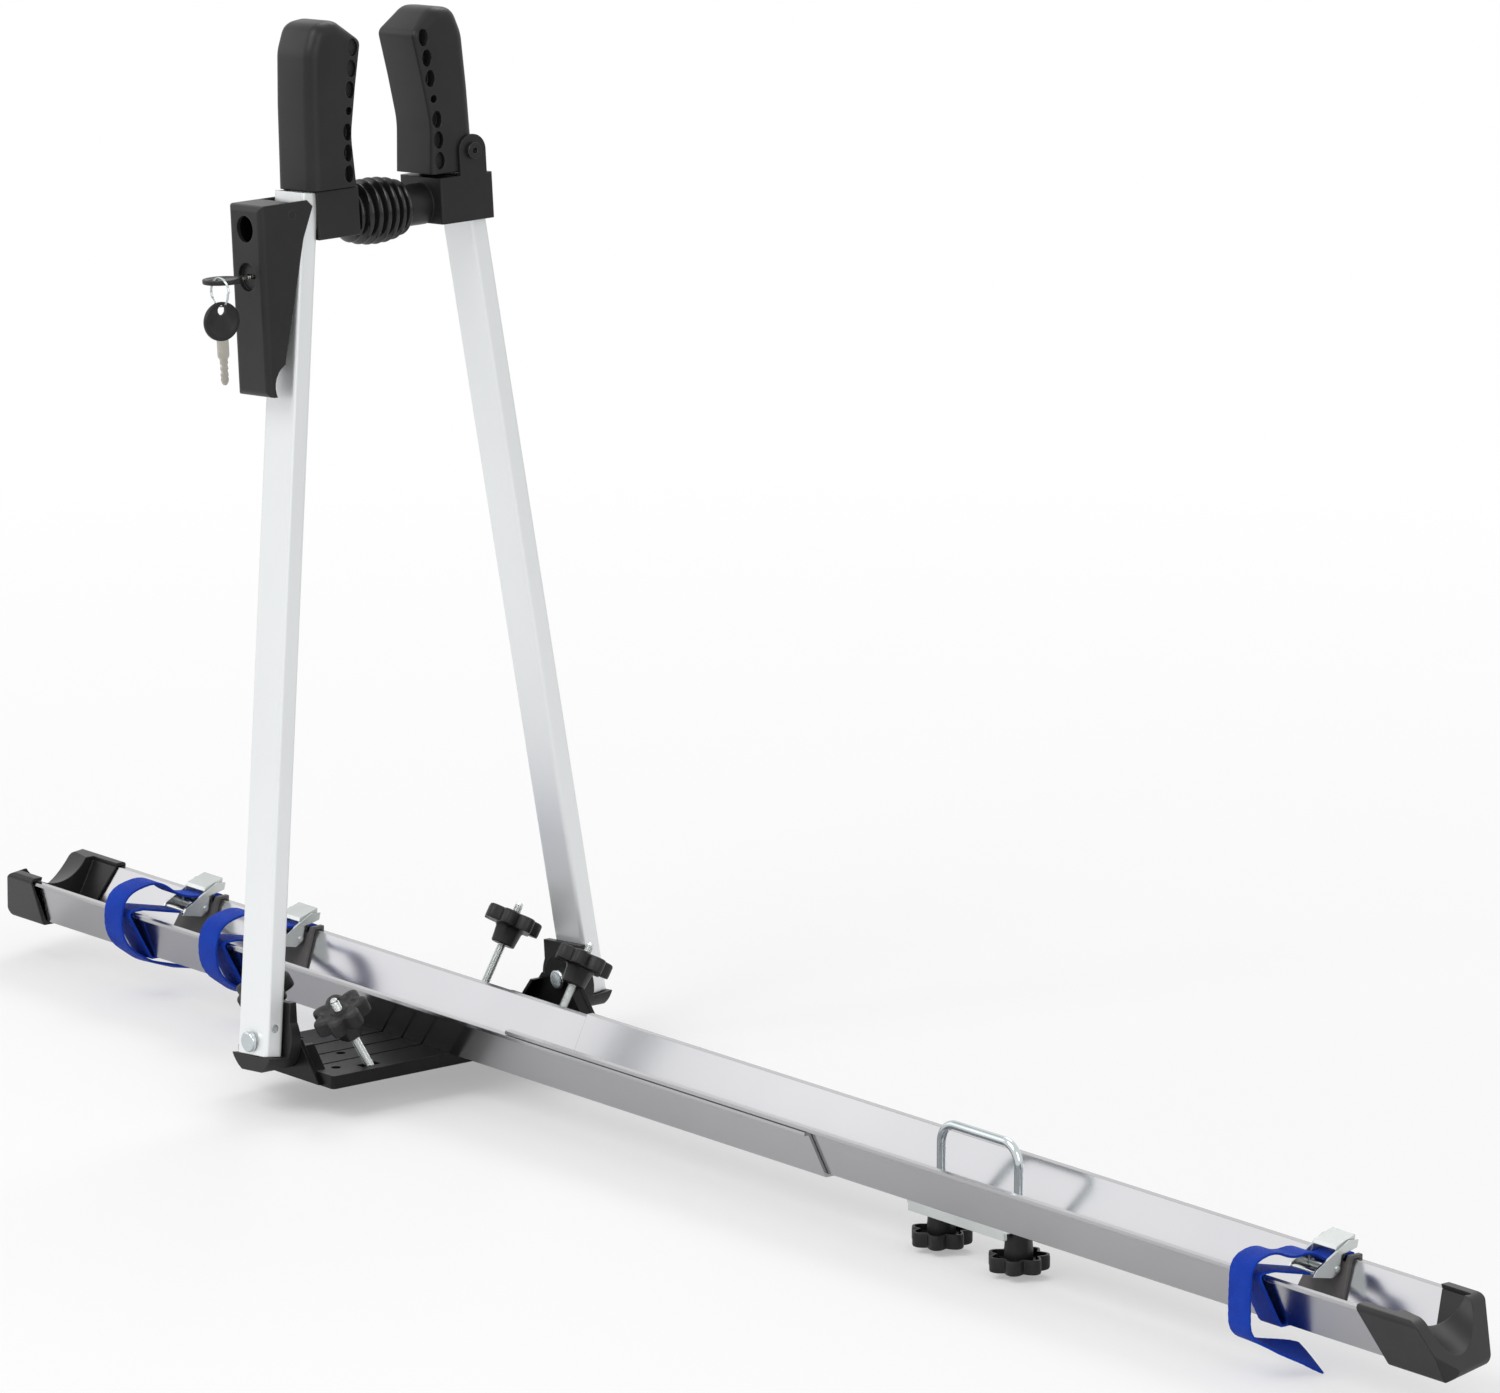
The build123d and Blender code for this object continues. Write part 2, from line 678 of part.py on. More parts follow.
for side, word in ((-1, "near"), (1, "far")):
    bracket_plane = Plane(origin=(0, side * bracket_face_y, 0), x_dir=(-side, 0, 0), z_dir=(0, side, 0))
    with BuildPart() as bracket:
        with BuildSketch(bracket_plane):
            with BuildLine():
                Polyline(
                    (-bracket_base_half, edge_round),
                    (bracket_base_half, edge_round),
                    (bracket_shoulder_half, pivot_height + edge_round),
                    (-bracket_shoulder_half, pivot_height + edge_round),
                    close=True,
                )
            make_face()
            with Locations((0, pivot_height)):
                Circle(bracket_eye_radius)
        extrude(amount=bracket_sheet)
        for turn in (-1, 1):
            slope_run = bracket_base_half - bracket_shoulder_half
            top_x = bracket_base_half - slope_run * (bracket_flange_height / pivot_height)
            low_x = bracket_base_half - slope_run * (plate_thickness / pivot_height)
            with BuildSketch(bracket_plane):
                with BuildLine():
                    Polyline(
                        (turn * low_x, plate_thickness),
                        (turn * (low_x - bracket_sheet), plate_thickness),
                        (turn * (top_x - bracket_sheet), bracket_flange_height),
                        (turn * top_x, bracket_flange_height),
                        close=True,
                    )
                make_face()
            extrude(amount=-bracket_flange)
        with BuildSketch(Plane(origin=(0, side * bracket_face_y, pivot_height), z_dir=(0, side, 0))):
            Circle(pivot_bolt_radius + running_gap)
        extrude(amount=bracket_sheet, mode=Mode.SUBTRACT)
    save(bracket.part, f"{word}_foot_bracket")

    arm_base = arm_plane(side)
    outer_y = arm_face_y(-arm_foot_drop)
    with BuildPart() as shoe:
        with BuildSketch(face_plane(side * shoe_face_y)):
            Circle(shoe_radius)
            with Locations((0, shoe_top / 2)):
                Rectangle(2 * shoe_half, shoe_top)
            with Locations((0, -shoe_radius)):
                Rectangle(2 * shoe_radius, shoe_radius / 4, mode=Mode.SUBTRACT)
        extrude(amount=-side * (outer_y - shoe_face_y))
        # everything beside and outside the tube above its foot is open
        with BuildSketch(arm_base.offset(-arm_foot_drop - foot_floor_gap)):
            with Locations((0, side * (arm_depth / 2 + foot_gap))):
                Rectangle(4 * shoe_half, 2 * arm_depth + 4 * foot_gap)
        extrude(amount=2 * shoe_radius + shoe_top, mode=Mode.SUBTRACT)
        with BuildSketch(arm_base.offset(-arm_foot_drop - foot_floor_gap - fit_gap)):
            Rectangle(2 * tongue_half, 2 * tongue_half_depth)
        extrude(amount=arm_foot_drop + tongue_top)
        with BuildSketch(face_plane(side * shoe_face_y)):
            Circle(pivot_bolt_radius)
        extrude(amount=-side * (outer_y - shoe_face_y), mode=Mode.SUBTRACT)
        with BuildSketch(Plane(arm_base.origin + arm_base.z_dir * cross_pin_height, z_dir=lean_x)):
            Circle(cross_pin_radius)
        extrude(amount=tongue_half, both=True, mode=Mode.SUBTRACT)
    save(shoe.part, f"{word}_arm_shoe")

    with BuildPart() as cross_pin:
        with BuildSketch(Plane(arm_base.origin + arm_base.z_dir * cross_pin_height, z_dir=lean_x)):
            Circle(cross_pin_radius)
        extrude(amount=arm_width / 2, both=True)
    save(cross_pin.part, f"{word}_cross_pin")

    bolt_end = arm_face_y(-pivot_head_radius) + fit_gap
    bolt_start = bracket_face_y - pivot_head_height
    with BuildPart() as pivot_bolt:
        with BuildSketch(face_plane(side * bolt_start)):
            Circle(pivot_bolt_radius)
        extrude(amount=-side * (bolt_end - bolt_start))
        with BuildSketch(face_plane(side * bolt_end)):
            Circle(pivot_head_radius)
        extrude(amount=-side * pivot_head_height)
        with BuildSketch(face_plane(side * (bolt_start + pivot_head_height - fit_gap))):
            Circle(pivot_head_radius)
        extrude(amount=side * pivot_head_height)
        rims = pivot_bolt.edges().filter_by(GeomType.CIRCLE).sort_by(Axis.Y)
        fillet([rims[0], rims[-1]], pivot_head_height / 2)
    save(pivot_bolt.part, f"{word}_pivot_bolt")

    arm_length = arm_top / cos(radians(splay_angle))
    rod_start = frame_point(0, side * arm_face_y(rod_height), rod_height)
    rod_place = Plane(origin=rod_start, x_dir=lean_x, z_dir=(0, -side, 0))
    with BuildPart() as arm:
        with BuildSketch(arm_base.offset(-arm_foot_drop)):
            RectangleRounded(arm_width, arm_depth, arm_corner)
            bore_size = (arm_width - 2 * arm_wall, arm_depth - 2 * arm_wall)
            RectangleRounded(*bore_size, arm_corner - arm_wall, mode=Mode.SUBTRACT)
        extrude(amount=arm_length + arm_foot_drop)
        hole = pivot_bolt_radius + (fit_gap if side < 0 else foot_gap)
        with BuildSketch(face_plane(side * (arm_centre_y + arm_depth))):
            Circle(hole)
        extrude(amount=side * 2 * arm_depth, mode=Mode.SUBTRACT)
        with BuildSketch(Plane(arm_base.origin + arm_base.z_dir * cross_pin_height, z_dir=lean_x)):
            Circle(cross_pin_radius + running_gap)
        extrude(amount=arm_width, both=True, mode=Mode.SUBTRACT)
        if side < 0:
            with BuildSketch(rod_place.offset(-arm_depth)):
                Circle(rod_radius + fit_gap)
            extrude(amount=4 * arm_depth, mode=Mode.SUBTRACT)
    save(arm.part, f"{word}_arm")

# %% Clamp head: near block, rod, spring, bellows and the far block with its socket
def rod_plane(y):
    """Plane square to the clamp rod at a place across the frame, looking along -Y."""
    return Plane(origin=frame_point(0, y, rod_height), x_dir=lean_x, z_dir=(0, -1, 0))


def tube_room(side, gap):
    """A solid as wide as the arm's outside plus a gap, to be cut from what sits on the arm."""
    with BuildPart(mode=Mode.PRIVATE) as room:
        with BuildSketch(arm_plane(side).offset(arm_top / 2)):
            Rectangle(arm_width + 2 * gap, arm_depth + 2 * gap)
        extrude(amount=arm_top / cos(radians(splay_angle)) - arm_top / 2 + gap)
    return room.part


near_room = tube_room(-1, fit_gap)
far_room = tube_room(1, fit_gap)

with BuildPart() as near_block:
    with BuildSketch(level_plane(block_bottom)):
        with Locations((0, -(block_inner_y + arm_face_y(block_bottom, outer=False)) / 2)):
            Rectangle(2 * block_half, arm_face_y(block_bottom, outer=False) - block_inner_y)
    extrude(amount=jaw_bottom - fit_gap - block_bottom)
    fillet(near_block.edges().filter_by(Axis.Y), edge_round)
    add(near_room, mode=Mode.SUBTRACT)
    with BuildSketch(rod_plane(0)):
        Circle(rod_radius)
    extrude(amount=2 * arm_centre_y, mode=Mode.SUBTRACT)
save(near_block.part, "near_clamp_block")

rod_far_y = far_block_inner_y - socket_reach + socket_depth - rod_end_gap
pin_z = lever_top - lever_top_rise
pin_y = arm_face_y(pin_z) + lever_pin_inset
with BuildPart() as rod:
    with BuildSketch(rod_plane(rod_far_y)):
        Circle(rod_radius)
    extrude(amount=rod_far_y + pin_y + hinge_eye_radius + nut_height + fit_gap)
save(rod.part, "clamp_rod")

bellows_near = block_inner_y - fit_gap
bellows_far = far_block_inner_y - socket_reach - fit_gap
bellows_length = bellows_near + bellows_far
rib_pitch = bellows_length / bellows_ribs
with BuildPart() as bellows:
    rings = []
    for rib in range(bellows_ribs):
        start = bellows_far - rib * rib_pitch
        for step, radius in enumerate((bellows_root, bellows_crest, bellows_crest, bellows_root)):
            rings.append((start - step * rib_pitch * bellows_rib_share, radius))
    rings.append((-bellows_near, bellows_root))
    for y, radius in rings:
        with BuildSketch(rod_plane(y)):
            Circle(radius)
    loft(ruled=True)
    with BuildSketch(rod_plane(bellows_far)):
        Circle(bellows_bore)
    extrude(amount=bellows_length, mode=Mode.SUBTRACT)
save(bellows.part, "clamp_bellows")

with BuildPart() as far_block:
    width = far_block_outer_y - far_block_inner_y
    with BuildSketch(level_plane(far_block_bottom)):
        with Locations((0, far_block_inner_y + width / 2)):
            Rectangle(2 * far_block_half, width)
    extrude(amount=far_block_top - far_block_bottom)
    fillet(far_block.edges().filter_by(up_axis), 2 * edge_round)
    with BuildSketch(side_plane(-far_block_half)):
        with Locations((boss_y, boss_z)):
            Circle(boss_radius)
        with Locations((boss_y, (boss_z + far_block_top) / 2)):
            Rectangle(2 * boss_radius, boss_z - far_block_top)
    extrude(amount=2 * far_block_half)
    with BuildSketch(side_plane(-jaw_half - fit_gap)):
        with Locations((boss_y, boss_z + fit_gap)):
            Rectangle(4 * boss_radius, 2 * (boss_z - far_block_top))
            Circle(boss_radius + edge_round)
    extrude(amount=2 * (jaw_half + fit_gap), mode=Mode.SUBTRACT)
    with BuildSketch(rod_plane(far_block_inner_y)):
        Circle(socket_radius)
    extrude(amount=socket_reach)
    add(far_room, mode=Mode.SUBTRACT)
    with BuildSketch(rod_plane(far_block_inner_y - socket_reach)):
        Circle(socket_bore)
    extrude(amount=-socket_depth, mode=Mode.SUBTRACT)
    with BuildSketch(side_plane(-far_block_half)):
        with Locations((boss_y, boss_z)):
            Circle(boss_screw_radius)
    extrude(amount=2 * far_block_half, mode=Mode.SUBTRACT)
save(far_block.part, "far_clamp_block")

with BuildPart() as boss_screw:
    with BuildSketch(side_plane(-far_block_half - fit_gap)):
        with Locations((boss_y, boss_z)):
            Circle(boss_screw_radius)
    extrude(amount=2 * (far_block_half + fit_gap))
    with BuildSketch(side_plane(far_block_half + fit_gap / 2)):
        with Locations((boss_y, boss_z)):
            Circle(boss_screw_head)
            RegularPolygon(boss_screw_radius * 0.8, 6, mode=Mode.SUBTRACT)
    extrude(amount=boss_screw_head_height)
save(boss_screw.part, "jaw_screw")

# %% Jaws that meet the bicycle's frame tube


def jaw(side, label):
    """One jaw: a hooked inner face, a domed top and a row of slots in each flank."""
    inner = jaw_gap_half
    outer = jaw_gap_half + jaw_depth
    hook = jaw_hook
    points = {
        word: (side * (inner + jaw_depth * depth_share - hook * hook_share), jaw_bottom + jaw_height * up_share)
        for word, (depth_share, hook_share, up_share) in jaw_shares.items()
    }
    with BuildPart() as body:
        with BuildSketch(side_plane(-jaw_half)):
            with BuildLine():
                Line(points["inner foot"], points["waist"])
                ThreePointArc(points["waist"], points["palm"], points["tip"])
                Polyline(*[points[word] for word in ("tip", "crown", "shoulder", "outer foot", "inner foot")])
            make_face()
            for word, radius in jaw_rounds.items():
                fillet(vertices().sort_by_distance(Vector(*points[word]))[0], radius)
        extrude(amount=2 * jaw_half)
        flanks = body.faces().filter_by(width_axis).edges()
        foot = jaw_bottom + jaw_round
        fillet(flanks.filter_by(lambda edge: (edge.center() - pivot).dot(lean_up) > foot), jaw_round)
        for slot in range(jaw_slot_count):
            share = slot / (jaw_slot_count - 1)
            z = jaw_bottom + jaw_height * (jaw_slot_low_share + jaw_slot_run_share * share)
            lean_in = hook * max(0.0, share - jaw_slot_bend_share) / (1 - jaw_slot_bend_share)
            turn = 90 + side * (jaw_slot_low_turn - jaw_slot_turn_range * share)
            spot = Location((side * (inner + jaw_slot_inset - lean_in), z), turn)
            small = slot == jaw_slot_count // 2
            for face in (-1, 1):
                with BuildSketch(side_plane(face * jaw_half)):
                    with Locations(spot):
                        if small:
                            Circle(jaw_slot_small / 2)
                        else:
                            SlotOverall(jaw_slot_length, jaw_slot_width)
                extrude(amount=-face * jaw_slot_depth, mode=Mode.SUBTRACT)
        if side > 0:
            with BuildSketch(side_plane(-jaw_half)):
                with Locations((boss_y, boss_z)):
                    Circle(boss_screw_radius)
            extrude(amount=2 * jaw_half, mode=Mode.SUBTRACT)
    save(body.part, label)


jaw(-1, "near_jaw")
jaw(1, "far_jaw")

# %% Hinge block on the near arm, its pin and the adjusting nut
with BuildPart() as hinge_block:
    with BuildSketch(side_plane(-hinge_block_half)):
        with Locations((-pin_y, pin_z)):
            Circle(hinge_eye_radius)
        with BuildLine():
            Polyline(
                (-pin_y - hinge_eye_radius, pin_z),
                (-pin_y + hinge_eye_radius, pin_z),
                (-pin_y + hinge_eye_radius, pin_z - hinge_eye_radius / 2),
                (-pin_y + lever_pin_inset, pin_z - hinge_eye_radius / 2),
                (-pin_y + lever_pin_inset + edge_round, pin_z - hinge_block_drop),
                (-pin_y - hinge_eye_radius, pin_z - hinge_block_drop),
                close=True,
            )
        make_face()
    extrude(amount=2 * hinge_block_half)
    add(near_room, mode=Mode.SUBTRACT)
    with BuildSketch(side_plane(-hinge_block_half)):
        with Locations((-pin_y, pin_z)):
            Circle(lever_pin_radius)
    extrude(amount=2 * hinge_block_half, mode=Mode.SUBTRACT)
    with BuildSketch(rod_plane(-pin_y + lever_pin_inset)):
        Circle(rod_radius)
    extrude(amount=2 * lever_pin_inset, mode=Mode.SUBTRACT)
save(hinge_block.part, "lever_hinge_block")

with BuildPart() as lever_pin:
    with BuildSketch(side_plane(-lever_half)):
        with Locations((-pin_y, pin_z)):
            Circle(lever_pin_radius)
    extrude(amount=2 * lever_half)
save(lever_pin.part, "lever_pin")

with BuildPart() as adjusting_nut:
    with BuildSketch(rod_plane(-pin_y - hinge_eye_radius - fit_gap)):
        Circle(nut_flange_radius)
        Circle(rod_radius + running_gap, mode=Mode.SUBTRACT)
    extrude(amount=nut_height / 3)
    with BuildSketch(rod_plane(-pin_y - hinge_eye_radius - fit_gap - nut_height / 3)):
        RegularPolygon(nut_flange_radius, 6)
        Circle(rod_radius + running_gap, mode=Mode.SUBTRACT)
    extrude(amount=2 * nut_height / 3)
save(adjusting_nut.part, "adjusting_nut")

# %% Clamp lever: a hollow handle that lies along the near arm
lever_tip_y = lever_tip_outer_y - lever_tip_depth
inner_half = lever_half - lever_cheek
with BuildPart() as lever:
    with BuildSketch(side_plane(-lever_half)):
        with BuildLine():
            lap_y = arm_face_y(lever_top) - lever_lap
            foot_z = lever_bottom + lever_cheek_foot
            foot_y = arm_face_y(foot_z) + lever_pin_inset
            Polyline(
                (-lever_tip_outer_y + edge_round, lever_bottom),
                (-lever_outer_y, lever_top),
                (-lap_y - lever_edge, lever_top),
                (-lap_y, lever_top - lever_edge),
                (-arm_face_y(rod_height), rod_height - lever_window_radius),
                (-foot_y, foot_z),
            )
            ThreePointArc(
                (-foot_y, foot_z),
                (-lever_tip_y + edge_round, lever_bottom + lever_tip_height),
                (-lever_tip_y, lever_bottom),
            )
            Line((-lever_tip_y, lever_bottom), (-lever_tip_outer_y + edge_round, lever_bottom))
        make_face()
    extrude(amount=2 * lever_half)
    front = lever.faces().sort_by(Axis(pivot, across))[0]
    fillet(front.edges(), lever_edge)
    with BuildSketch(side_plane(-inner_half)):
        with BuildLine():
            Polyline(
                (-lever_outer_y + lever_sheet, lever_top - lever_top_sheet),
                (-pin_y, lever_top - lever_top_sheet),
                (-pin_y, lever_top + run_over),
                (0, lever_top + run_over),
                (0, lever_bottom + lever_tip_height),
                (-lever_tip_outer_y + lever_sheet, lever_bottom + lever_tip_height),
                close=True,
            )
        make_face()
    extrude(amount=2 * inner_half, mode=Mode.SUBTRACT)
    lock_share = (lock_height - lever_bottom) / lever_length
    lock_face = lever_tip_outer_y + (lever_outer_y - lever_tip_outer_y) * lock_share
    lock_plane = Plane(origin=frame_point(0, -lock_face, lock_height), x_dir=lean_x, z_dir=(0, -1, 0))
    with BuildSketch(lock_plane.offset(-lever_sheet / 2)):
        Circle(lock_housing_radius)
    extrude(amount=-(lock_housing_depth - lever_sheet / 2))
    with BuildSketch(lock_plane.offset(run_over)):
        Circle(lock_recess_radius)
    extrude(amount=-(lock_recess_depth + run_over), mode=Mode.SUBTRACT)
    with BuildSketch(lock_plane.offset(run_over)):
        Circle(plug_radius + running_gap)
    extrude(amount=-(lock_housing_depth + 2 * run_over), mode=Mode.SUBTRACT)
    with BuildSketch(rod_plane(-pin_y)):
        Circle(lever_window_radius)
    extrude(amount=2 * lever_outer_y, mode=Mode.SUBTRACT)
    with BuildSketch(side_plane(-lever_half)):
        with Locations((-pin_y, pin_z)):
            Circle(lever_pin_radius + running_gap)
    extrude(amount=2 * lever_half, mode=Mode.SUBTRACT)
save(lever.part, "clamp_lever")

# %% Lock plug, the key in it, the ring and the spare key
with BuildPart() as plug:
    with BuildSketch(lock_plane.offset(-lock_recess_depth)):
        Circle(plug_radius)
        Rectangle(plug_slot_height, plug_slot_width, mode=Mode.SUBTRACT)
    extrude(amount=-(lock_housing_depth - lock_recess_depth))
save(plug.part, "lock_plug")

bow_y = lock_face + key_shank + key_bow_half_length
with BuildPart() as key:
    with BuildSketch(Plane(origin=frame_point(0, -bow_y, lock_height), x_dir=lean_x, z_dir=lean_up)):
        Ellipse(key_bow_half_width, key_bow_half_length)
        with Locations((0, key_bow_half_length + key_shank / 2)):
            Rectangle(key_blade_width + 2 * edge_round, key_shank + 2 * edge_round)
        with Locations((0, key_bow_half_length + key_shank + lock_housing_depth / 2)):
            Rectangle(key_blade_width, lock_housing_depth)
        with Locations((0, -key_bow_half_length + key_hole_inset)):
            Circle(key_hole_radius, mode=Mode.SUBTRACT)
    extrude(amount=key_thickness / 2, both=True)
save(key.part, "lock_key")

# the ring passes down through the bow's hole and round the edge of the bow beside it
hole_y = bow_y + key_bow_half_length - key_hole_inset
hole_share = (key_bow_half_length - key_hole_inset) / key_bow_half_length
edge_x = key_bow_half_width * sqrt(1 - hole_share**2)
ring_x = (ring_hole_x + edge_x + ring_edge_gap) / 2
ring_z = lock_height - sqrt(ring_radius**2 - (ring_x - ring_hole_x)**2)
ring_centre = frame_point(ring_x, -hole_y, ring_z)
with BuildPart() as ring:
    with BuildSketch(Plane(origin=ring_centre, x_dir=lean_x, z_dir=(0, -1, 0))):
        Circle(ring_radius + ring_wire)
        Circle(ring_radius - ring_wire, mode=Mode.SUBTRACT)
    extrude(amount=ring_wire, both=True)
    fillet(ring.edges(), ring_wire / 2)
save(ring.part, "key_ring")

spare_hole_z = ring_z - ring_radius - key_hole_radius + ring_wire + fit_gap / 2
bow_z = spare_hole_z + key_hole_inset - key_bow_half_length
with BuildPart() as spare:
    with BuildSketch(Plane(origin=frame_point(ring_x, -hole_y, bow_z), x_dir=across, z_dir=lean_x)):
        Ellipse(key_bow_half_width, key_bow_half_length)
        with Locations((0, -key_bow_half_length - key_shank / 2)):
            Rectangle(key_blade_width + 2 * edge_round, key_shank + 2 * edge_round)
        with Locations((0, -key_bow_half_length - key_shank / 2 - key_blade_length / 2)):
            Rectangle(key_blade_width, key_blade_length)
        with Locations((0, spare_hole_z - bow_z)):
            Circle(key_hole_radius, mode=Mode.SUBTRACT)
    extrude(amount=key_thickness / 2, both=True)
save(spare.part, "spare_key")


# %% Star knobs and the bolts that carry them
def star(radius):
    """Outline of a star knob, made inside an open sketch."""
    valley = radius - knob_lobe_radius
    Circle(valley)
    with PolarLocations(valley, knob_lobes):
        Circle(knob_lobe_radius)
    with PolarLocations(radius + knob_lobe_radius / 2, knob_lobes, start_angle=180 / knob_lobes):
        Circle(knob_lobe_radius, mode=Mode.SUBTRACT)


def star_knob(seat, hub_length, label, pocket=0.0):
    """A knob whose hub starts on the seat plane and whose disc lies beyond the hub."""
    with BuildPart() as knob:
        with BuildSketch(seat.offset(hub_length)):
            star(knob_radius)
        extrude(amount=knob_disc)
        fillet(knob.faces().sort_by(Axis(seat.origin, seat.z_dir))[-1].edges(), edge_round)
        if pocket:
            with BuildSketch(seat.offset(hub_length)):
                Circle(knob_radius - knob_lobe_radius - edge_round)
            extrude(amount=pocket, mode=Mode.SUBTRACT)
        with BuildSketch(seat):
            Circle(knob_hub_radius)
        with BuildSketch(seat.offset(hub_length + pocket)):
            Circle(knob_hub_radius + edge_round)
        loft()
        with BuildSketch(seat):
            Circle(bolt_radius + running_gap)
        extrude(amount=hub_length + knob_disc, mode=Mode.SUBTRACT)
    save(knob.part, label)


for side, word in ((-1, "near"), (1, "far")):
    for end, place in ((-1, "front"), (1, "rear")):
        foot = Vector(end * bolt_x, side * bolt_y, plate_thickness / 2)
        lean = radians(bolt_lean)
        bolt_line = Plane(origin=foot, x_dir=(1, 0, 0), z_dir=(0, side * sin(lean), cos(lean)))
        knob_centre = knob_places[f"{word}_{place}"]
        length = knob_centre + knob_disc / 2 + bolt_tip
        with BuildPart() as bolt:
            with BuildSketch(Plane(origin=foot, z_dir=(1, 0, 0))):
                Circle(bolt_barrel_radius)
            extrude(amount=bolt_barrel_length / 2, both=True)
            with BuildSketch(bolt_line):
                Circle(bolt_radius)
            extrude(amount=length)
        save(bolt.part, f"{word}_{place}_bolt")
        hub_start = knob_centre - knob_disc / 2 - knob_hub_length
        star_knob(bolt_line.offset(hub_start), knob_hub_length, f"{word}_{place}_knob")

# %% Rear clamp: U-bolt, clamp plate and two knobs
rear_floor = rail_bottom + nest_up
plate_top = rear_floor - fit_gap
plate_low = plate_top - clamp_plate_thickness
with BuildPart() as u_bolt:
    with BuildLine() as u_path:
        FilletPolyline(
            (u_centre_x - u_spacing / 2, 0, rear_knob_bottom + knob_disc / 2),
            (u_centre_x - u_spacing / 2, 0, u_crown_height - u_radius),
            (u_centre_x + u_spacing / 2, 0, u_crown_height - u_radius),
            (u_centre_x + u_spacing / 2, 0, rear_knob_bottom + knob_disc / 2),
            radius=u_corner,
        )
    with BuildSketch(Plane(origin=u_path.line @ 0, z_dir=(0, 0, 1))):
        Circle(bolt_radius)
    sweep()
save(u_bolt.part, "u_bolt")

with BuildPart() as clamp_plate:
    left = u_centre_x - u_spacing / 2 - clamp_plate_overhang
    right = u_centre_x + u_spacing / 2 + 2 * bolt_radius
    with BuildSketch(Plane.XY.offset(plate_low)):
        with Locations(((left + right) / 2, 0)):
            RectangleRounded(right - left, clamp_plate_width, clamp_plate_corner)
    extrude(amount=clamp_plate_thickness)
    # turned down lips along both long edges
    for side in (-1, 1):
        with BuildSketch(Plane.XY.offset(plate_top)):
            with Locations(((left + right) / 2, side * (clamp_plate_width - clamp_plate_thickness) / 2)):
                Rectangle(right - left - 2 * clamp_plate_corner, clamp_plate_thickness)
        extrude(amount=-clamp_plate_lip)
    with BuildSketch(Plane.XY.offset(plate_low)):
        with Locations((u_centre_x, 0)):
            with GridLocations(u_spacing, 0, 2, 1):
                Circle(bolt_radius + fit_gap)
    extrude(amount=clamp_plate_thickness, mode=Mode.SUBTRACT)
save(clamp_plate.part, "rear_clamp_plate")

for end, place in ((-1, "front"), (1, "rear")):
    top = plate_low - fit_gap
    seat = Plane(origin=(u_centre_x + end * u_spacing / 2, 0, top), x_dir=(1, 0, 0), z_dir=(0, 0, -1))
    hub = top - rear_knob_bottom - knob_disc
    star_knob(seat, hub, f"rear_clamp_{place}_knob", pocket=knob_disc / 2)
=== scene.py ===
# %% [markdown]
# # A roof mounted bike carrier
# An aluminium wheel rail carries a folding A-frame with a locking clamp. The hard parts come
# from the CAD model and only need finishes. Webbing, bellows, jaws, knobs, studs, the split
# ring and the keys are modelled here, each by the tool that makes its form quickest.

# %% Load the carrier
import json
from math import atan2, cos, pi, radians, sin, tan

import bmesh
import bpy
from mathutils import Matrix, Vector


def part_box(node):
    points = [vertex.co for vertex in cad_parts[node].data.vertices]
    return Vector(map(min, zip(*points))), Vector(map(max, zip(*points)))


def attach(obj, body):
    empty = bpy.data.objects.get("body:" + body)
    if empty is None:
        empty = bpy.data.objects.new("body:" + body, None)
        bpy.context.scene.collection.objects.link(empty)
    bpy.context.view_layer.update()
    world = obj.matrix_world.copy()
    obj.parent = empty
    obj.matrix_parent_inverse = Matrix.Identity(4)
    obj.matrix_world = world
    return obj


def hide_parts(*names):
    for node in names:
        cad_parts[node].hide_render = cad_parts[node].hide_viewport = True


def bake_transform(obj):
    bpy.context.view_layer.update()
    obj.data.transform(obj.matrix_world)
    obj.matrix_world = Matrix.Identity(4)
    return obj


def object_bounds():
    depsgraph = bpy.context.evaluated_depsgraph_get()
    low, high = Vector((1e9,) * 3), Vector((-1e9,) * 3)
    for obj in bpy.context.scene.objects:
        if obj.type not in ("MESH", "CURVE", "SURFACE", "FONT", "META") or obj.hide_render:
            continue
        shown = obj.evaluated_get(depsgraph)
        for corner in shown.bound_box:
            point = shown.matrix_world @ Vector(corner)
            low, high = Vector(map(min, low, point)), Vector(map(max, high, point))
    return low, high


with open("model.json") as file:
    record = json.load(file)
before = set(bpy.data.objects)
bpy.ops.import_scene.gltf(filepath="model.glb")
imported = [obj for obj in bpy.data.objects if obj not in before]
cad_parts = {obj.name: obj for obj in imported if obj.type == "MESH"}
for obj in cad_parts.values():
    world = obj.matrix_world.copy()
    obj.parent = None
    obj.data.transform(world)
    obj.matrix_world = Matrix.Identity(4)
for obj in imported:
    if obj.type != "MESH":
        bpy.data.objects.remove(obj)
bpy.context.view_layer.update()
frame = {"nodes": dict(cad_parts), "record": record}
mm = 0.001

# %% [markdown]
# ## The camera
# The photograph was taken from far away with a long lens, so parallel edges stay nearly
# parallel. An empty could be aimed by hand, but the angles were measured, so the camera is
# put on a sphere round its target and turned to look at the middle of it.

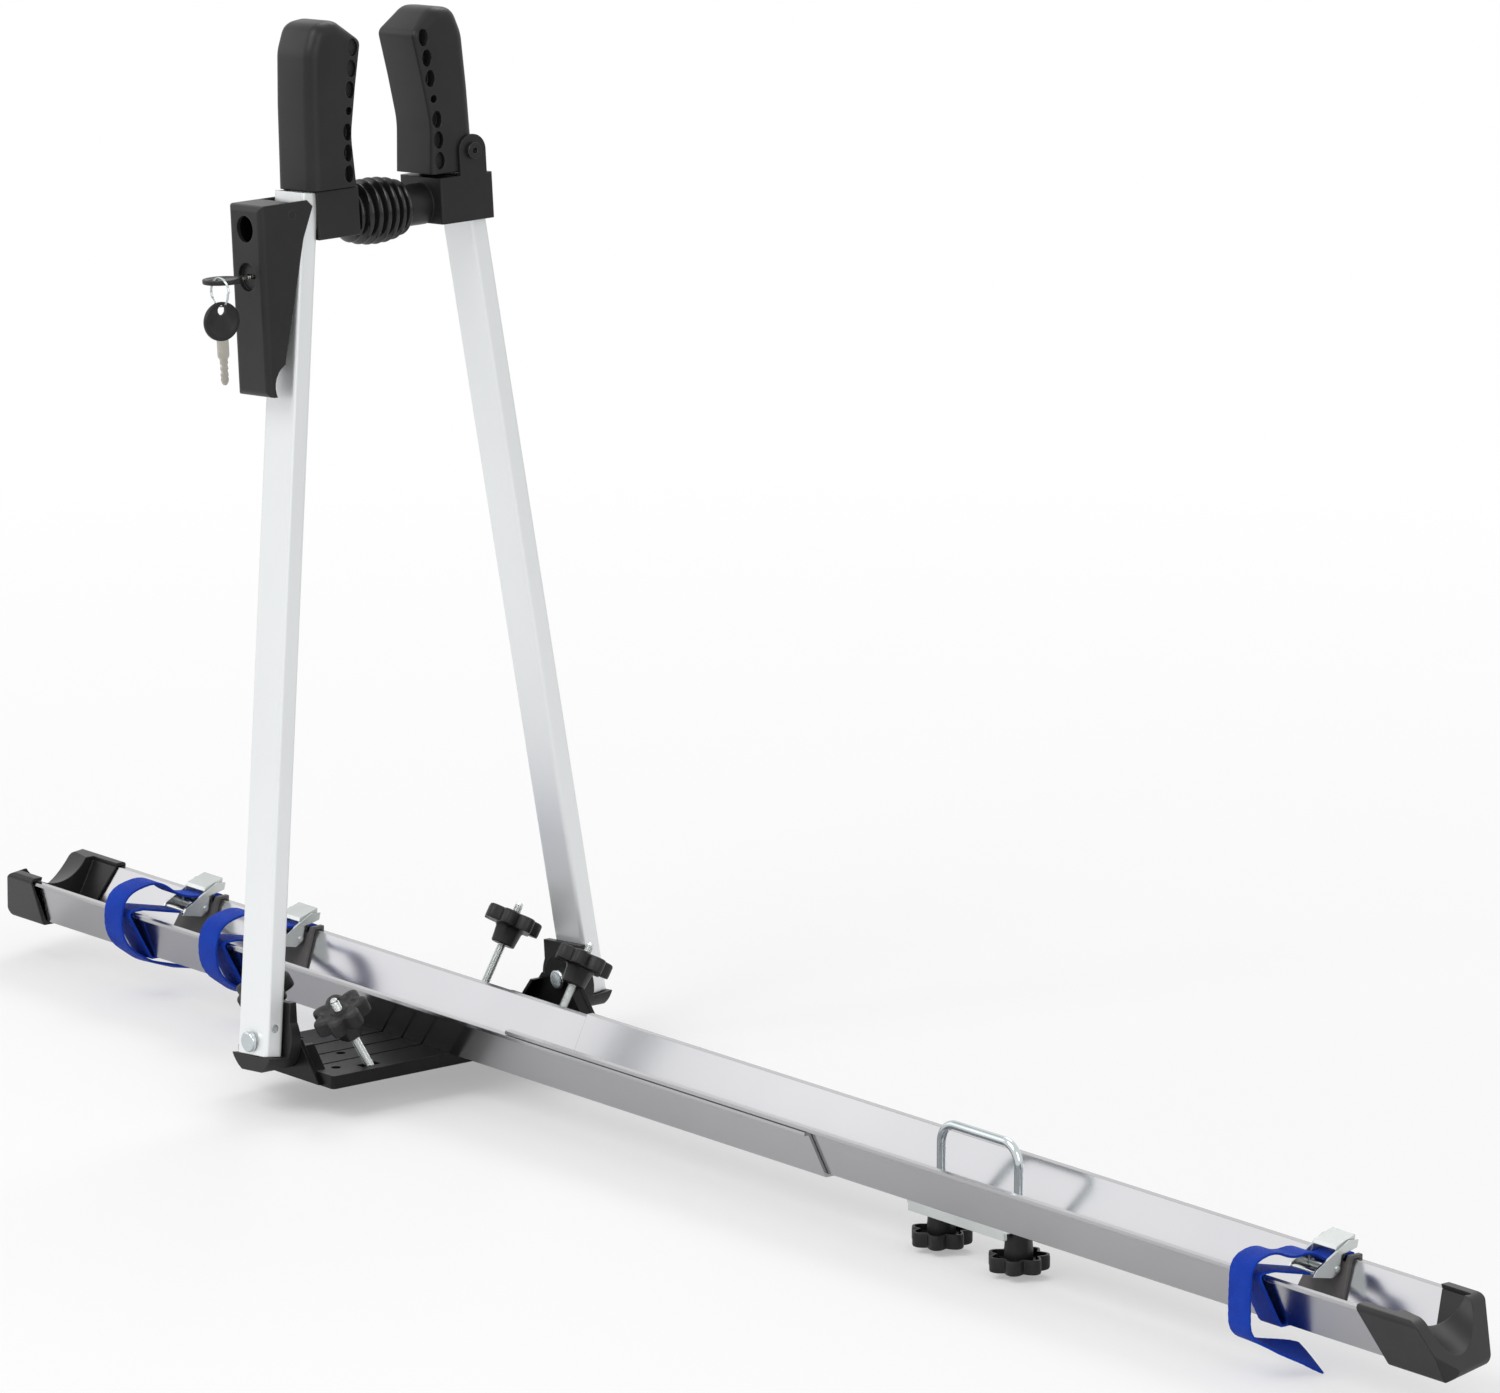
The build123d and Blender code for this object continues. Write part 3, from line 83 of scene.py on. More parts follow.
# %% Put the camera where the photographer stood
camera_azimuth = radians(51.04)
camera_height = radians(13.15)
camera_distance = 7.537
camera_target = Vector((0.290, 0.0494, 0.2876))
lens_length = 276.5
back = Vector((
    sin(camera_azimuth) * cos(camera_height),
    -cos(camera_azimuth) * cos(camera_height),
    sin(camera_height),
))
bpy.ops.object.camera_add(location=camera_target + back * camera_distance)
camera = bpy.context.object
camera.rotation_euler = back.to_track_quat("Z", "Y").to_euler()
camera.data.lens = lens_length
camera.data.sensor_width = 36.0
camera.data.clip_end = 100.0
bpy.context.scene.camera = camera
print("camera at", [round(v, 3) for v in camera.location])

# %% [markdown]
# ## Small helpers
# Operators act on everything that is selected, and a new primitive arrives selected all
# over. These helpers clear the selection, pick faces or edges by a rule, and fix a finished
# piece's place into its mesh.

# %% Helpers for modelling by operator
merge_distance = 0.01 * mm


def rest():
    """Leaves edit mode and deselects every object."""
    if bpy.context.object and bpy.context.object.mode == "EDIT":
        bpy.ops.object.mode_set(mode="OBJECT")
    for item in list(bpy.context.selected_objects):
        item.select_set(False)


def begin(name):
    """Names a new primitive, fixes its place in its mesh and opens it in edit mode."""
    piece = bpy.context.object
    piece.name = name
    piece.data.name = name
    bpy.ops.object.transform_apply(location=True, rotation=True, scale=True)
    bpy.ops.object.mode_set(mode="EDIT")
    return piece


def pick(piece, kind, rule):
    """Selects the vertices, edges or faces of an edited mesh for which the rule holds."""
    mesh = bmesh.from_edit_mesh(piece.data)
    bpy.ops.mesh.select_all(action="DESELECT")
    bpy.context.tool_settings.mesh_select_mode = [kind == word for word in ("verts", "edges", "faces")]
    for part in getattr(mesh, kind):
        if rule(part):
            part.select_set(True)
    mesh.select_flush_mode()
    bmesh.update_edit_mesh(piece.data)


def move_points(piece, rule):
    """Moves each vertex of an edited mesh to where the rule puts it."""
    mesh = bmesh.from_edit_mesh(piece.data)
    for point in mesh.verts:
        point.co = rule(point.co.copy())
    bmesh.update_edit_mesh(piece.data)


def modifier(piece, kind, **settings):
    """Adds a modifier with its settings and applies it."""
    bpy.context.view_layer.objects.active = piece
    added = piece.modifiers.new(kind.title(), kind)
    for word, value in settings.items():
        setattr(added, word, value)
    bpy.ops.object.modifier_apply(modifier=added.name)


def reopen(piece):
    """Selects a piece alone and opens it in edit mode."""
    rest()
    piece.select_set(True)
    bpy.context.view_layer.objects.active = piece
    bpy.ops.object.mode_set(mode="EDIT")


def cap_ends(piece):
    """Closes the open ends of a wound piece."""
    reopen(piece)
    pick(piece, "edges", lambda edge: edge.is_boundary)
    bpy.ops.mesh.fill_holes(sides=0)
    rest()


def tidy_surface(piece, angle):
    """Merges doubles, turns the faces outwards and smooths all but the sharp edges."""
    reopen(piece)
    bpy.ops.mesh.select_all(action="SELECT")
    bpy.ops.mesh.remove_doubles(threshold=merge_distance)
    bpy.ops.mesh.normals_make_consistent(inside=False)
    bpy.ops.object.mode_set(mode="OBJECT")
    bpy.ops.object.shade_smooth_by_angle(angle=radians(angle))


def place(piece, origin, x_axis=(1, 0, 0), z_axis=(0, 0, 1)):
    """Puts a piece modelled at the origin in its place and fixes the place in its mesh."""
    x_axis, z_axis = Vector(x_axis).normalized(), Vector(z_axis).normalized()
    turn = Matrix((x_axis, z_axis.cross(x_axis), z_axis)).transposed().to_4x4()
    rest()
    piece.select_set(True)
    bpy.context.view_layer.objects.active = piece
    piece.matrix_world = Matrix.Translation(origin) @ turn
    bpy.ops.object.transform_apply(location=True, rotation=True, scale=True)


def copy_of(piece, name):
    """A copy of a piece with its own mesh."""
    twin = piece.copy()
    twin.data = piece.data.copy()
    twin.name = twin.data.name = name
    bpy.context.scene.collection.objects.link(twin)
    return twin


rest()
print("helpers are ready")

# %% [markdown]
# ## Shared effects as node groups
# Cast, drawn and moulded surfaces differ in colour but share their faults: softened edges,
# a fine grain, a slow drift of the colour. A painted edge light lies on the same rounded edges:
# a painted highlight where its colour is lighter, painted shade where it is darker. Each effect
# is built once as a node group with named inputs, and every finish below places it with its own values.

# %% Tools for node groups and finishes
def new_group(name, inputs, outputs):
    """A shader node group with named sockets, and its input and output nodes."""
    group = bpy.data.node_groups.new(name, "ShaderNodeTree")
    for word, kind, value in inputs:
        socket = group.interface.new_socket(name=word, in_out="INPUT", socket_type="NodeSocket" + kind)
        socket.default_value = value
    for word, kind in outputs:
        group.interface.new_socket(name=word, in_out="OUTPUT", socket_type="NodeSocket" + kind)
    return group, group.nodes.new("NodeGroupInput"), group.nodes.new("NodeGroupOutput")


def node(tree, kind, values=(), **settings):
    """A node of that kind with its settings, and its input sockets set by name or number."""
    made = tree.nodes.new("ShaderNode" + kind)
    for word, value in settings.items():
        setattr(made, word, value)
    for socket, value in dict(values).items():
        made.inputs[socket].default_value = value
    return made


def math(tree, operation, first, second=None, clamp=False):
    """A Math node fed by sockets or plain numbers."""
    made = node(tree, "Math", operation=operation, use_clamp=clamp)
    for number, source in enumerate((first, second)):
        if source is None:
            continue
        if isinstance(source, (int, float)):
            made.inputs[number].default_value = source
        else:
            tree.links.new(source, made.inputs[number])
    return made.outputs[0]


# %% Group: softened edges
soft_edges, given, result = new_group(
    "Softened Edges", [("Radius", "Float", 0.0006)], [("Normal", "Vector"), ("Edge", "Float")]
)
rounding = node(soft_edges, "Bevel", samples=4)
geometry = node(soft_edges, "NewGeometry")
facing = node(soft_edges, "VectorMath", operation="DOT_PRODUCT")
soft_edges.links.new(given.outputs["Radius"], rounding.inputs["Radius"])
soft_edges.links.new(rounding.outputs[0], facing.inputs[0])
soft_edges.links.new(geometry.outputs["True Normal"], facing.inputs[1])
bent = math(soft_edges, "SUBTRACT", 1.0, facing.outputs["Value"])
soft_edges.links.new(math(soft_edges, "MULTIPLY", bent, 4.0, clamp=True), result.inputs["Edge"])
soft_edges.links.new(rounding.outputs[0], result.inputs["Normal"])

# %% Group: fine grain
fine_grain, given, result = new_group(
    "Fine Grain",
    [("Scale", "Float", 900.0), ("Stretch", "Vector", (1, 1, 1)), ("Turn", "Vector", (0, 0, 0))],
    [("Height", "Float")],
)
spot = node(fine_grain, "TexCoord")
turned = node(fine_grain, "Mapping")
grain = node(fine_grain, "TexNoise", {"Detail": 4.0, "Roughness": 0.6})
fine_grain.links.new(spot.outputs["Object"], turned.inputs["Vector"])
fine_grain.links.new(given.outputs["Turn"], turned.inputs["Rotation"])
stretch = node(fine_grain, "VectorMath", operation="MULTIPLY")
fine_grain.links.new(turned.outputs[0], stretch.inputs[0])
fine_grain.links.new(given.outputs["Stretch"], stretch.inputs[1])
fine_grain.links.new(stretch.outputs[0], grain.inputs["Vector"])
fine_grain.links.new(given.outputs["Scale"], grain.inputs["Scale"])
fine_grain.links.new(grain.outputs[0], result.inputs["Height"])

# %% Group: slow colour drift with painted edge highlight and shade
drift_and_edge_light, given, result = new_group(
    "Colour Drift And Painted Edge Light",
    [
        ("Colour", "Color", (1, 1, 1, 1)),
        ("Deep Colour", "Color", (0, 0, 0, 1)),
        ("Painted Edge Light", "Color", (1, 1, 1, 1)),
        ("Scale", "Float", 12.0),
        ("Edge", "Float", 0.0),
        ("Evenness", "Float", 0.0),
    ],
    [("Colour", "Color"), ("Patches", "Float")],
)
spot = node(drift_and_edge_light, "TexCoord")
clouds = node(drift_and_edge_light, "TexNoise", {"Detail": 3.0, "Roughness": 0.55})
levels = node(drift_and_edge_light, "MapRange", {"From Min": 0.35, "From Max": 0.65})
blend = node(drift_and_edge_light, "Mix", data_type="RGBA")
# This mix lays the painted edge light (painted highlight or painted shade per finish) over the drifted
# colour.
painted_edge_light = node(drift_and_edge_light, "Mix", data_type="RGBA")
drift_and_edge_light.links.new(spot.outputs["Object"], clouds.inputs["Vector"])
drift_and_edge_light.links.new(given.outputs["Scale"], clouds.inputs["Scale"])
drift_and_edge_light.links.new(clouds.outputs[0], levels.inputs["Value"])
drift_and_edge_light.links.new(levels.outputs[0], blend.inputs["Factor"])
drift_and_edge_light.links.new(given.outputs["Deep Colour"], blend.inputs["A"])
drift_and_edge_light.links.new(given.outputs["Colour"], blend.inputs["B"])
drift_and_edge_light.links.new(blend.outputs["Result"], painted_edge_light.inputs["A"])
drift_and_edge_light.links.new(given.outputs["Painted Edge Light"], painted_edge_light.inputs["B"])
# Rounded edges take the painted edge light: a lighter colour is a painted highlight, a darker one painted
# shade.
painted_edge_mask = math(drift_and_edge_light, "MAXIMUM", levels.outputs[0], given.outputs["Evenness"])
painted_edge_mask = math(drift_and_edge_light, "MULTIPLY", given.outputs["Edge"], painted_edge_mask, clamp=True)
drift_and_edge_light.links.new(painted_edge_mask, painted_edge_light.inputs["Factor"])
drift_and_edge_light.links.new(painted_edge_light.outputs["Result"], result.inputs["Colour"])
drift_and_edge_light.links.new(levels.outputs[0], result.inputs["Patches"])
print("node groups:", [group.name for group in bpy.data.node_groups])


# %% [markdown]
# ## Finishes
# One function lays the shared groups under a Principled shader: rounded edges feed the bump,
# grain gives the bump its height and breaks the roughness, and the drift colours the base, with
# painted light along the rounded edges: a highlight where the edge colour is lighter, shade where it is
# darker.
# What is the same all over a surface stays on the shader's own sockets.

# %% A function for hard finishes
def finish(name, colour, deep, painted_edge_light, metallic, roughness, spread=0.08, grain_scale=900.0,
           stretch=(1, 1, 1), turn=(0, 0, 0), bump=0.15, bump_depth=0.0001, radius=0.0006,
           drift_scale=12.0, evenness=0.0, specular=0.5):
    """A material for hard surfaces from the shared effects."""
    material = bpy.data.materials.new(name)
    material.use_nodes = True
    tree = material.node_tree
    tree.nodes.clear()
    output = node(tree, "OutputMaterial")
    shader = node(tree, "BsdfPrincipled", {"Metallic": metallic, "Specular IOR Level": specular})
    edges = node(tree, "Group", node_tree=soft_edges)
    edges.inputs["Radius"].default_value = radius
    grains = node(tree, "Group", node_tree=fine_grain)
    grains.inputs["Scale"].default_value = grain_scale
    grains.inputs["Stretch"].default_value = stretch
    grains.inputs["Turn"].default_value = [radians(v) for v in turn]
    drift = node(tree, "Group", node_tree=drift_and_edge_light)
    drift.inputs["Colour"].default_value = (*colour, 1)
    drift.inputs["Deep Colour"].default_value = (*deep, 1)
    # The edge colour is painted on the rounded edges: a painted highlight when lighter, painted shade
    # when darker.
    drift.inputs["Painted Edge Light"].default_value = (*painted_edge_light, 1)
    drift.inputs["Scale"].default_value = drift_scale
    drift.inputs["Evenness"].default_value = evenness
    relief = node(tree, "Bump", {"Strength": bump, "Distance": bump_depth})
    rough = node(tree, "MapRange", {"To Min": roughness - spread, "To Max": roughness + spread})
    tree.links.new(edges.outputs["Edge"], drift.inputs["Edge"])
    tree.links.new(edges.outputs["Normal"], relief.inputs["Normal"])
    tree.links.new(grains.outputs["Height"], relief.inputs["Height"])
    tree.links.new(grains.outputs["Height"], rough.inputs["Value"])
    tree.links.new(rough.outputs[0], shader.inputs["Roughness"])
    tree.links.new(drift.outputs["Colour"], shader.inputs["Base Color"])
    tree.links.new(relief.outputs[0], shader.inputs["Normal"])
    tree.links.new(shader.outputs[0], output.inputs["Surface"])
    return material


# %% [markdown]
# ## Metals
# The rail is extruded and anodised to a sheen in which the U-bolt mirrors itself; its rounded
# edges are darkened as painted shade. The arms are the same metal in a whiter finish, with
# painted shade as a darker line at each rounded corner. Small hardware is zinc plated, cool
# and slightly green; the U-bolt, screw heads and ring are brighter, with painted highlights
# on their edges.

# %% Metal finishes
# The third colour of each finish is its painted edge light: darker on the rail and arms as painted shade,
# lighter on the plated parts and keys as a painted highlight.
rail_metal = finish(
    "rail_anodised", (0.47, 0.47, 0.485), (0.43, 0.43, 0.445), (0.30, 0.29, 0.285), 1.0, 0.17,
    spread=0.03, grain_scale=1500.0, bump=0.008, radius=0.0007, drift_scale=4.0, evenness=0.7,
)
arm_turn = {"near": (7.1, -4.6, 0), "far": (-7.1, -4.6, 0)}
arm_metals = {
    side: finish(
        f"{side}_arm_anodised", (0.84, 0.86, 0.865), (0.79, 0.81, 0.82), (0.40, 0.40, 0.39), 0.45, 0.32,
        spread=0.04, stretch=(1, 1, 0.01), turn=turn, grain_scale=900.0, bump=0.015, radius=0.0010,
        drift_scale=3.0, evenness=0.8,
    )
    for side, turn in arm_turn.items()
}
zinc_plate = finish(
    "zinc_plate", (0.64, 0.67, 0.66), (0.56, 0.59, 0.585), (0.85, 0.87, 0.86), 1.0, 0.24,
    spread=0.05, grain_scale=260.0, bump=0.05, drift_scale=18.0, radius=0.0004,
)
bright_plate = finish(
    "bright_plate", (0.60, 0.65, 0.66), (0.52, 0.57, 0.58), (0.88, 0.9, 0.9), 1.0, 0.13,
    spread=0.04, grain_scale=500.0, bump=0.03, drift_scale=14.0, radius=0.0004,
)
key_plate = finish(
    "key_nickel", (0.50, 0.48, 0.43), (0.42, 0.40, 0.36), (0.75, 0.72, 0.66), 0.95, 0.26,
    spread=0.06, grain_scale=500.0, bump=0.06, drift_scale=60.0, radius=0.0003,
)
print("metals done")

# %% [markdown]
# ## Plastics and rubbers
# Clamp, jaws, caps and knobs are moulded black plastic with a fine spark grain and edges made
# paler by a painted highlight. The base plate is painted, the bellows are glossy rubber, and the
# pads under the buckles are a matt grey rubber; their edges carry a painted highlight too.

# %% Plastic, paint and rubber finishes
# The third colour of each finish is lighter: a painted highlight along the edges.
black_plastic = finish(
    "black_moulded", (0.0150, 0.0138, 0.0150), (0.0105, 0.0098, 0.0106), (0.052, 0.050, 0.053), 0.0, 0.40,
    grain_scale=2200.0, bump=0.3, bump_depth=0.00006, radius=0.0012, drift_scale=25.0, specular=0.30,
)
black_paint = finish(
    "black_paint", (0.0060, 0.0058, 0.0060), (0.0045, 0.0045, 0.0045), (0.05, 0.05, 0.05), 0.0, 0.34,
    grain_scale=600.0, bump=0.12, radius=0.0008, drift_scale=30.0, specular=0.20,
)
black_rubber = finish(
    "bellows_rubber", (0.008, 0.008, 0.008), (0.006, 0.006, 0.006), (0.03, 0.03, 0.03), 0.0, 0.20,
    spread=0.05, grain_scale=400.0, bump=0.06, radius=0.0005, drift_scale=40.0, specular=0.45,
)
pad_rubber = finish(
    "pad_rubber", (0.115, 0.108, 0.106), (0.090, 0.085, 0.084), (0.19, 0.18, 0.18), 0.0, 0.55,
    grain_scale=1200.0, bump=0.35, radius=0.0008, drift_scale=50.0, specular=0.3,
)
black_metal = finish(
    "blackened_steel", (0.020, 0.020, 0.021), (0.014, 0.014, 0.015), (0.16, 0.16, 0.165), 0.4, 0.30,
    spread=0.05, grain_scale=300.0, bump=0.05, radius=0.0004, drift_scale=30.0, specular=0.4,
)
print("plastics and rubbers done")

# %% [markdown]
# ## Dress the CAD pieces
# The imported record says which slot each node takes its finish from, so the finishes are
# handed out from a table by slot. The arms get their own finish, turned to their lean, and
# three small steel pieces are blackened.

# %% Hand out the finishes
finish_of_slot = {
    "rail_aluminium": rail_metal, "black_plate": black_paint, "black_plastic": black_plastic,
    "black_rubber": black_rubber, "pad_rubber": pad_rubber, "zinc_steel": zinc_plate,
    "bright_steel": bright_plate, "key_steel": key_plate, "blue_webbing": black_rubber,
}
blackened = ("jaw_screw", "lever_pin", "lock_plug")
slot_of_node = {row["node"]: row["material_slot"] for row in frame["record"]["subparts"]}
for name, item in frame["nodes"].items():
    chosen = finish_of_slot.get(slot_of_node.get(name), zinc_plate)
    if name in ("near_arm", "far_arm"):
        chosen = arm_metals[name.split("_")[0]]
    if name in blackened:
        chosen = black_metal
    item.data.materials.clear()
    item.data.materials.append(chosen)
print(len(frame["nodes"]), "nodes dressed")

# %% [markdown]
# ## Webbing
# Polypropylene webbing is woven flat, 20 mm wide and 1.6 mm thick. It could be a solid block
# bent round the rail, but it is laid as a thin grid along its route, so that the weave
# follows its length and the loose tail can twist. The weave reads the strip's own map, where
# one unit is a metre. Warp ribs run along it and weft rows cross it, and the hollows between them are
# darkened as painted shade.

# %% Webbing finish
webbing_width = 20 * mm
webbing_thickness = 1.6 * mm
webbing_edge_round = 0.35 * mm
edge_scallop = 0.12 * mm
route_spacing, row_spacing = 3 * mm, 2.5 * mm
weave, given, result = new_group(
    "Woven Rows", [("Row Pitch", "Float", 0.0012)], [("Height", "Float"), ("Rows", "Float")]
)
strip_map = node(weave, "UVMap", uv_map="strip")
split = node(weave, "SeparateXYZ")
weave.links.new(strip_map.outputs[0], split.inputs[0])
turns = {}
for word, socket, share in (("weft", "Y", 1.0), ("warp", "X", 1.4)):
    count = math(weave, "DIVIDE", split.outputs[socket], given.outputs["Row Pitch"])
    turns[word] = math(weave, "MULTIPLY", count, 2 * pi / share)
offset = math(weave, "MULTIPLY", math(weave, "SIGN", math(weave, "SINE", turns["warp"])), pi / 2)
weft = math(weave, "SINE", math(weave, "ADD", turns["weft"], offset))
warp = math(weave, "ABSOLUTE", math(weave, "SINE", turns["warp"]))
height = math(weave, "MULTIPLY", math(weave, "ADD", math(weave, "MULTIPLY", weft, 0.5), 0.5), warp)
weave.links.new(height, result.inputs["Height"])
weave.links.new(weft, result.inputs["Rows"])

blue_webbing = bpy.data.materials.new("blue_webbing")
blue_webbing.use_nodes = True
tree = blue_webbing.node_tree
tree.nodes.clear()
output = node(tree, "OutputMaterial")
cloth = node(tree, "BsdfPrincipled", {
    "Roughness": 0.6, "Specular IOR Level": 0.12, "Sheen Weight": 0.02, "Sheen Roughness": 0.4,
})
rows = node(tree, "Group", node_tree=weave)
drift = node(tree, "Group", node_tree=drift_and_edge_light)
drift.inputs["Colour"].default_value = (0.0060, 0.072, 0.60, 1)
drift.inputs["Deep Colour"].default_value = (0.0040, 0.050, 0.48, 1)
drift.inputs["Scale"].default_value = 60.0
# The weave's low places are mixed towards dark blue: painted shade between the threads.
painted_weave_shade = node(tree, "Mix", {"B": (0.001, 0.014, 0.20, 1)}, data_type="RGBA")
shade = math(tree, "SUBTRACT", 1.0, rows.outputs["Height"])
relief = node(tree, "Bump", {"Strength": 0.9, "Distance": 0.0004})
tree.links.new(math(tree, "MULTIPLY", shade, 0.55), painted_weave_shade.inputs["Factor"])
tree.links.new(drift.outputs["Colour"], painted_weave_shade.inputs["A"])
tree.links.new(painted_weave_shade.outputs["Result"], cloth.inputs["Base Color"])
tree.links.new(rows.outputs["Height"], relief.inputs["Height"])
tree.links.new(relief.outputs[0], cloth.inputs["Normal"])
tree.links.new(cloth.outputs[0], output.inputs["Surface"])
print("webbing finish done")


# %% Lay webbing along a route
def rounded(points, radii, steps=6):
    """Points of a route in its plane with each inner corner turned in an arc."""
    points = [Vector(p) for p in points]
    line = [points[0]]
    for before, corner, after, radius in zip(points, points[1:], points[2:], radii):
        first = (before - corner).normalized()
        second = (after - corner).normalized()
        half = first.angle(second) / 2
        reach = 0.49 * min((before - corner).length, (after - corner).length)
        run = min(radius / tan(half), reach)
        start, end = corner + first * run, corner + second * run
        for number in range(steps + 1):
            t = number / steps
            line.append(start * (1 - t) ** 2 + corner * (2 * t * (1 - t)) + end * t**2)
    line.append(points[-1])
    return line


def evenly(line, spacing):
    """The route again with points no further apart than the spacing."""
    result = [line[0]]
    for start, end in zip(line, line[1:]):
        count = max(1, int((end - start).length / spacing + 0.5))
        result += [start.lerp(end, number / count) for number in range(1, count + 1)]
    return result


def at_length(line, lengths, distance):
    """Point and direction of a route at a distance from its start."""
    number = max(1, min(len(line) - 1, sum(length < distance for length in lengths)))
    start, end = line[number - 1], line[number]
    share = (distance - lengths[number - 1]) / (lengths[number] - lengths[number - 1])
    ahead, behind = line[min(number + 1, len(line) - 1)], line[max(number - 2, 0)]
    return start.lerp(end, share), (ahead - behind).normalized()


def lay_webbing(name, x, route, drift_at, twist_at, slant):
    """A strip of webbing along a route in the plane across the rail, its end cut at a slant."""
    line = evenly([Vector((0, *point)) for point in route], route_spacing)
    lengths = [0.0]
    for start, end in zip(line, line[1:]):
        lengths.append(lengths[-1] + (end - start).length)
    total, rows = lengths[-1], round(lengths[-1] / row_spacing)
    bpy.ops.mesh.primitive_grid_add(x_subdivisions=4, y_subdivisions=rows, size=2)
    strip = begin(name)
    bpy.ops.object.mode_set(mode="OBJECT")
    strip_map = strip.data.uv_layers.active
    strip_map.name = "strip"
    for corner in strip_map.data:
        corner.uv.x *= webbing_width
        corner.uv.y *= total
    for point in strip.data.vertices:
        row = round((point.co.y + 1) / 2 * rows)
        last_eighth = max(0.0, 8 * row / rows - 7)
        cut = slant * (1 - point.co.x) / 2 * last_eighth
        share = row / rows - cut / total
        middle, along = at_length(line, lengths, share * total)
        across = Matrix.Rotation(twist_at(share), 3, along) @ Vector((1, 0, 0))
        scallop = edge_scallop * (-1) ** row if abs(point.co.x) > 0.99 else 0.0
        middle.x = x + drift_at(share)
        point.co = middle + across * (point.co.x * (webbing_width / 2 + scallop))
    modifier(strip, "SOLIDIFY", thickness=webbing_thickness, offset=0.0)
    modifier(
        strip, "BEVEL", width=webbing_edge_round, segments=2, limit_method="ANGLE",
        angle_limit=radians(60),
    )
    rest()
    strip.select_set(True)
    bpy.ops.object.shade_smooth_by_angle(angle=radians(50))
    strip.data.materials.append(blue_webbing)
    return strip, total


# %% [markdown]
# ## The three wheel straps
# Each strap is sewn to its buckle's bar, runs under the rail, comes back through the cam and
# leaves a loose tail. The numbers repeat the route in the part's source, and the tail's
# corners lie a few millimetres inside it. The front straps tuck their tails in under the
# rail. The rear one hangs free, turns over as it falls and ends in a slanted cut.

# %% Lay the wheel straps
rail_bottom_half = 20.0
strap_clearance = 1.3
bar_radius, rim_radius, tail_radius = 4.0, 1.0, 40.0
front_section = (9.0, 42.0, 38.236)
rear_section = (11.3, 44.7, 37.121)
strap_places = {
    1: (-292.0, front_section, False),
    2: (-182.0, front_section, False),
    3: (888.0, rear_section, True),
}
tucked_tail = [(3.7, 47.5), (-14, 62), (-45.5, 56), (-46.5, 22), (-20, 4), (15, -7)]
free_tail = [
    (17, 44.5), (4, 53.5), (-12, 51.5), (-27, 59), (-46, 54),
    (-47, 28), (-47, 6), (-26, -3), (-8, -9), (6, -16),
]
twist_start, tucked_drift_start = 0.84, 0.6
free_drift, free_twist, free_slant = 15 * mm, radians(42), 11 * mm
tucked_drift, tucked_twist, tucked_slant = -2 * mm, radians(-10), 2 * mm


def strap_route(section, loose):
    """Corners and corner radii of a strap in millimetres."""
    floor, rim, lip = section
    off = strap_clearance
    edge = rail_bottom_half + off
    points = [
        (lip - 34.5, rim - 5.4), (-lip + 10.2, rim + off + 0.3), (-lip - off, rim + off + 0.3),
        (-lip - off, rim - 2.4), (-edge, floor - off), (edge, floor - off), (lip + off, rim - 2.4),
        (lip + off, rim + off + 0.3), (lip - 8.4, rim + 2.0),
    ]
    radii = [bar_radius] + [rim_radius] * 6 + [bar_radius]
    points += free_tail if loose else tucked_tail
    radii += [tail_radius] * (len(points) - 2 - len(radii))
    return [(y * mm, z * mm) for y, z in points], [r * mm for r in radii]


for number, (x, section, loose) in strap_places.items():
    points, radii = strap_route(section, loose)

    def tail_drift(share, loose=loose):
        late = max(0.0, share - twist_start) / (1 - twist_start)
        early = max(0.0, share - tucked_drift_start) / (1 - tucked_drift_start)
        return free_drift * late**1.3 if loose else tucked_drift * early

    def tail_twist(share, loose=loose):
        late = max(0.0, share - twist_start) / (1 - twist_start)
        return (free_twist if loose else tucked_twist) * (3 * late**2 - 2 * late**3)

    strip, length = lay_webbing(
        f"wheel_webbing_{number}", x * mm, rounded(points, radii), tail_drift, tail_twist,
        free_slant if loose else tucked_slant,
    )
    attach(strip, "carrier")
    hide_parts(f"wheel_strap_{number}")
    print(strip.name, "is", round(length, 3), "m long")

# %% [markdown]
# ## Bellows
# A rubber sleeve keeps water off the clamp's rod and stretches when the clamp opens. It is a
# turned form, fullest in its middle, so one profile of its ribs is drawn and spun.

# %% Spin the bellows
pivot_height, rod_height = 27, 543
lean_angle = radians(4.6)
lean_x = Vector((cos(lean_angle), 0, sin(lean_angle)))
lean_up = Vector((-sin(lean_angle), 0, cos(lean_angle)))


def frame_point(x, y, z):
    """A point of the leaning A-frame, given in millimetres from its pivot line."""
    return (lean_x * x + Vector((0, y, 0)) + lean_up * z + Vector((0, 0, pivot_height))) * mm


bellows_near, bellows_far = 29.7, 17.7
bellows_ribs = 7
rib_steps = 10 * bellows_ribs
valley_radius, rib_depth = 17.6, 4.9
bellows_wall, blend_margin = 1.4 * mm, 3
bellows_length = (bellows_near + bellows_far) * mm


def rib_profile(share):
    """Radius of the bellows at a share of its length."""
    wave = 0.5 - 0.5 * cos(2 * pi * bellows_ribs * share)
    barrel = 0.74 + 0.26 * sin(pi * share) ** 0.6
    return (valley_radius + rib_depth * wave**0.7) * barrel * mm


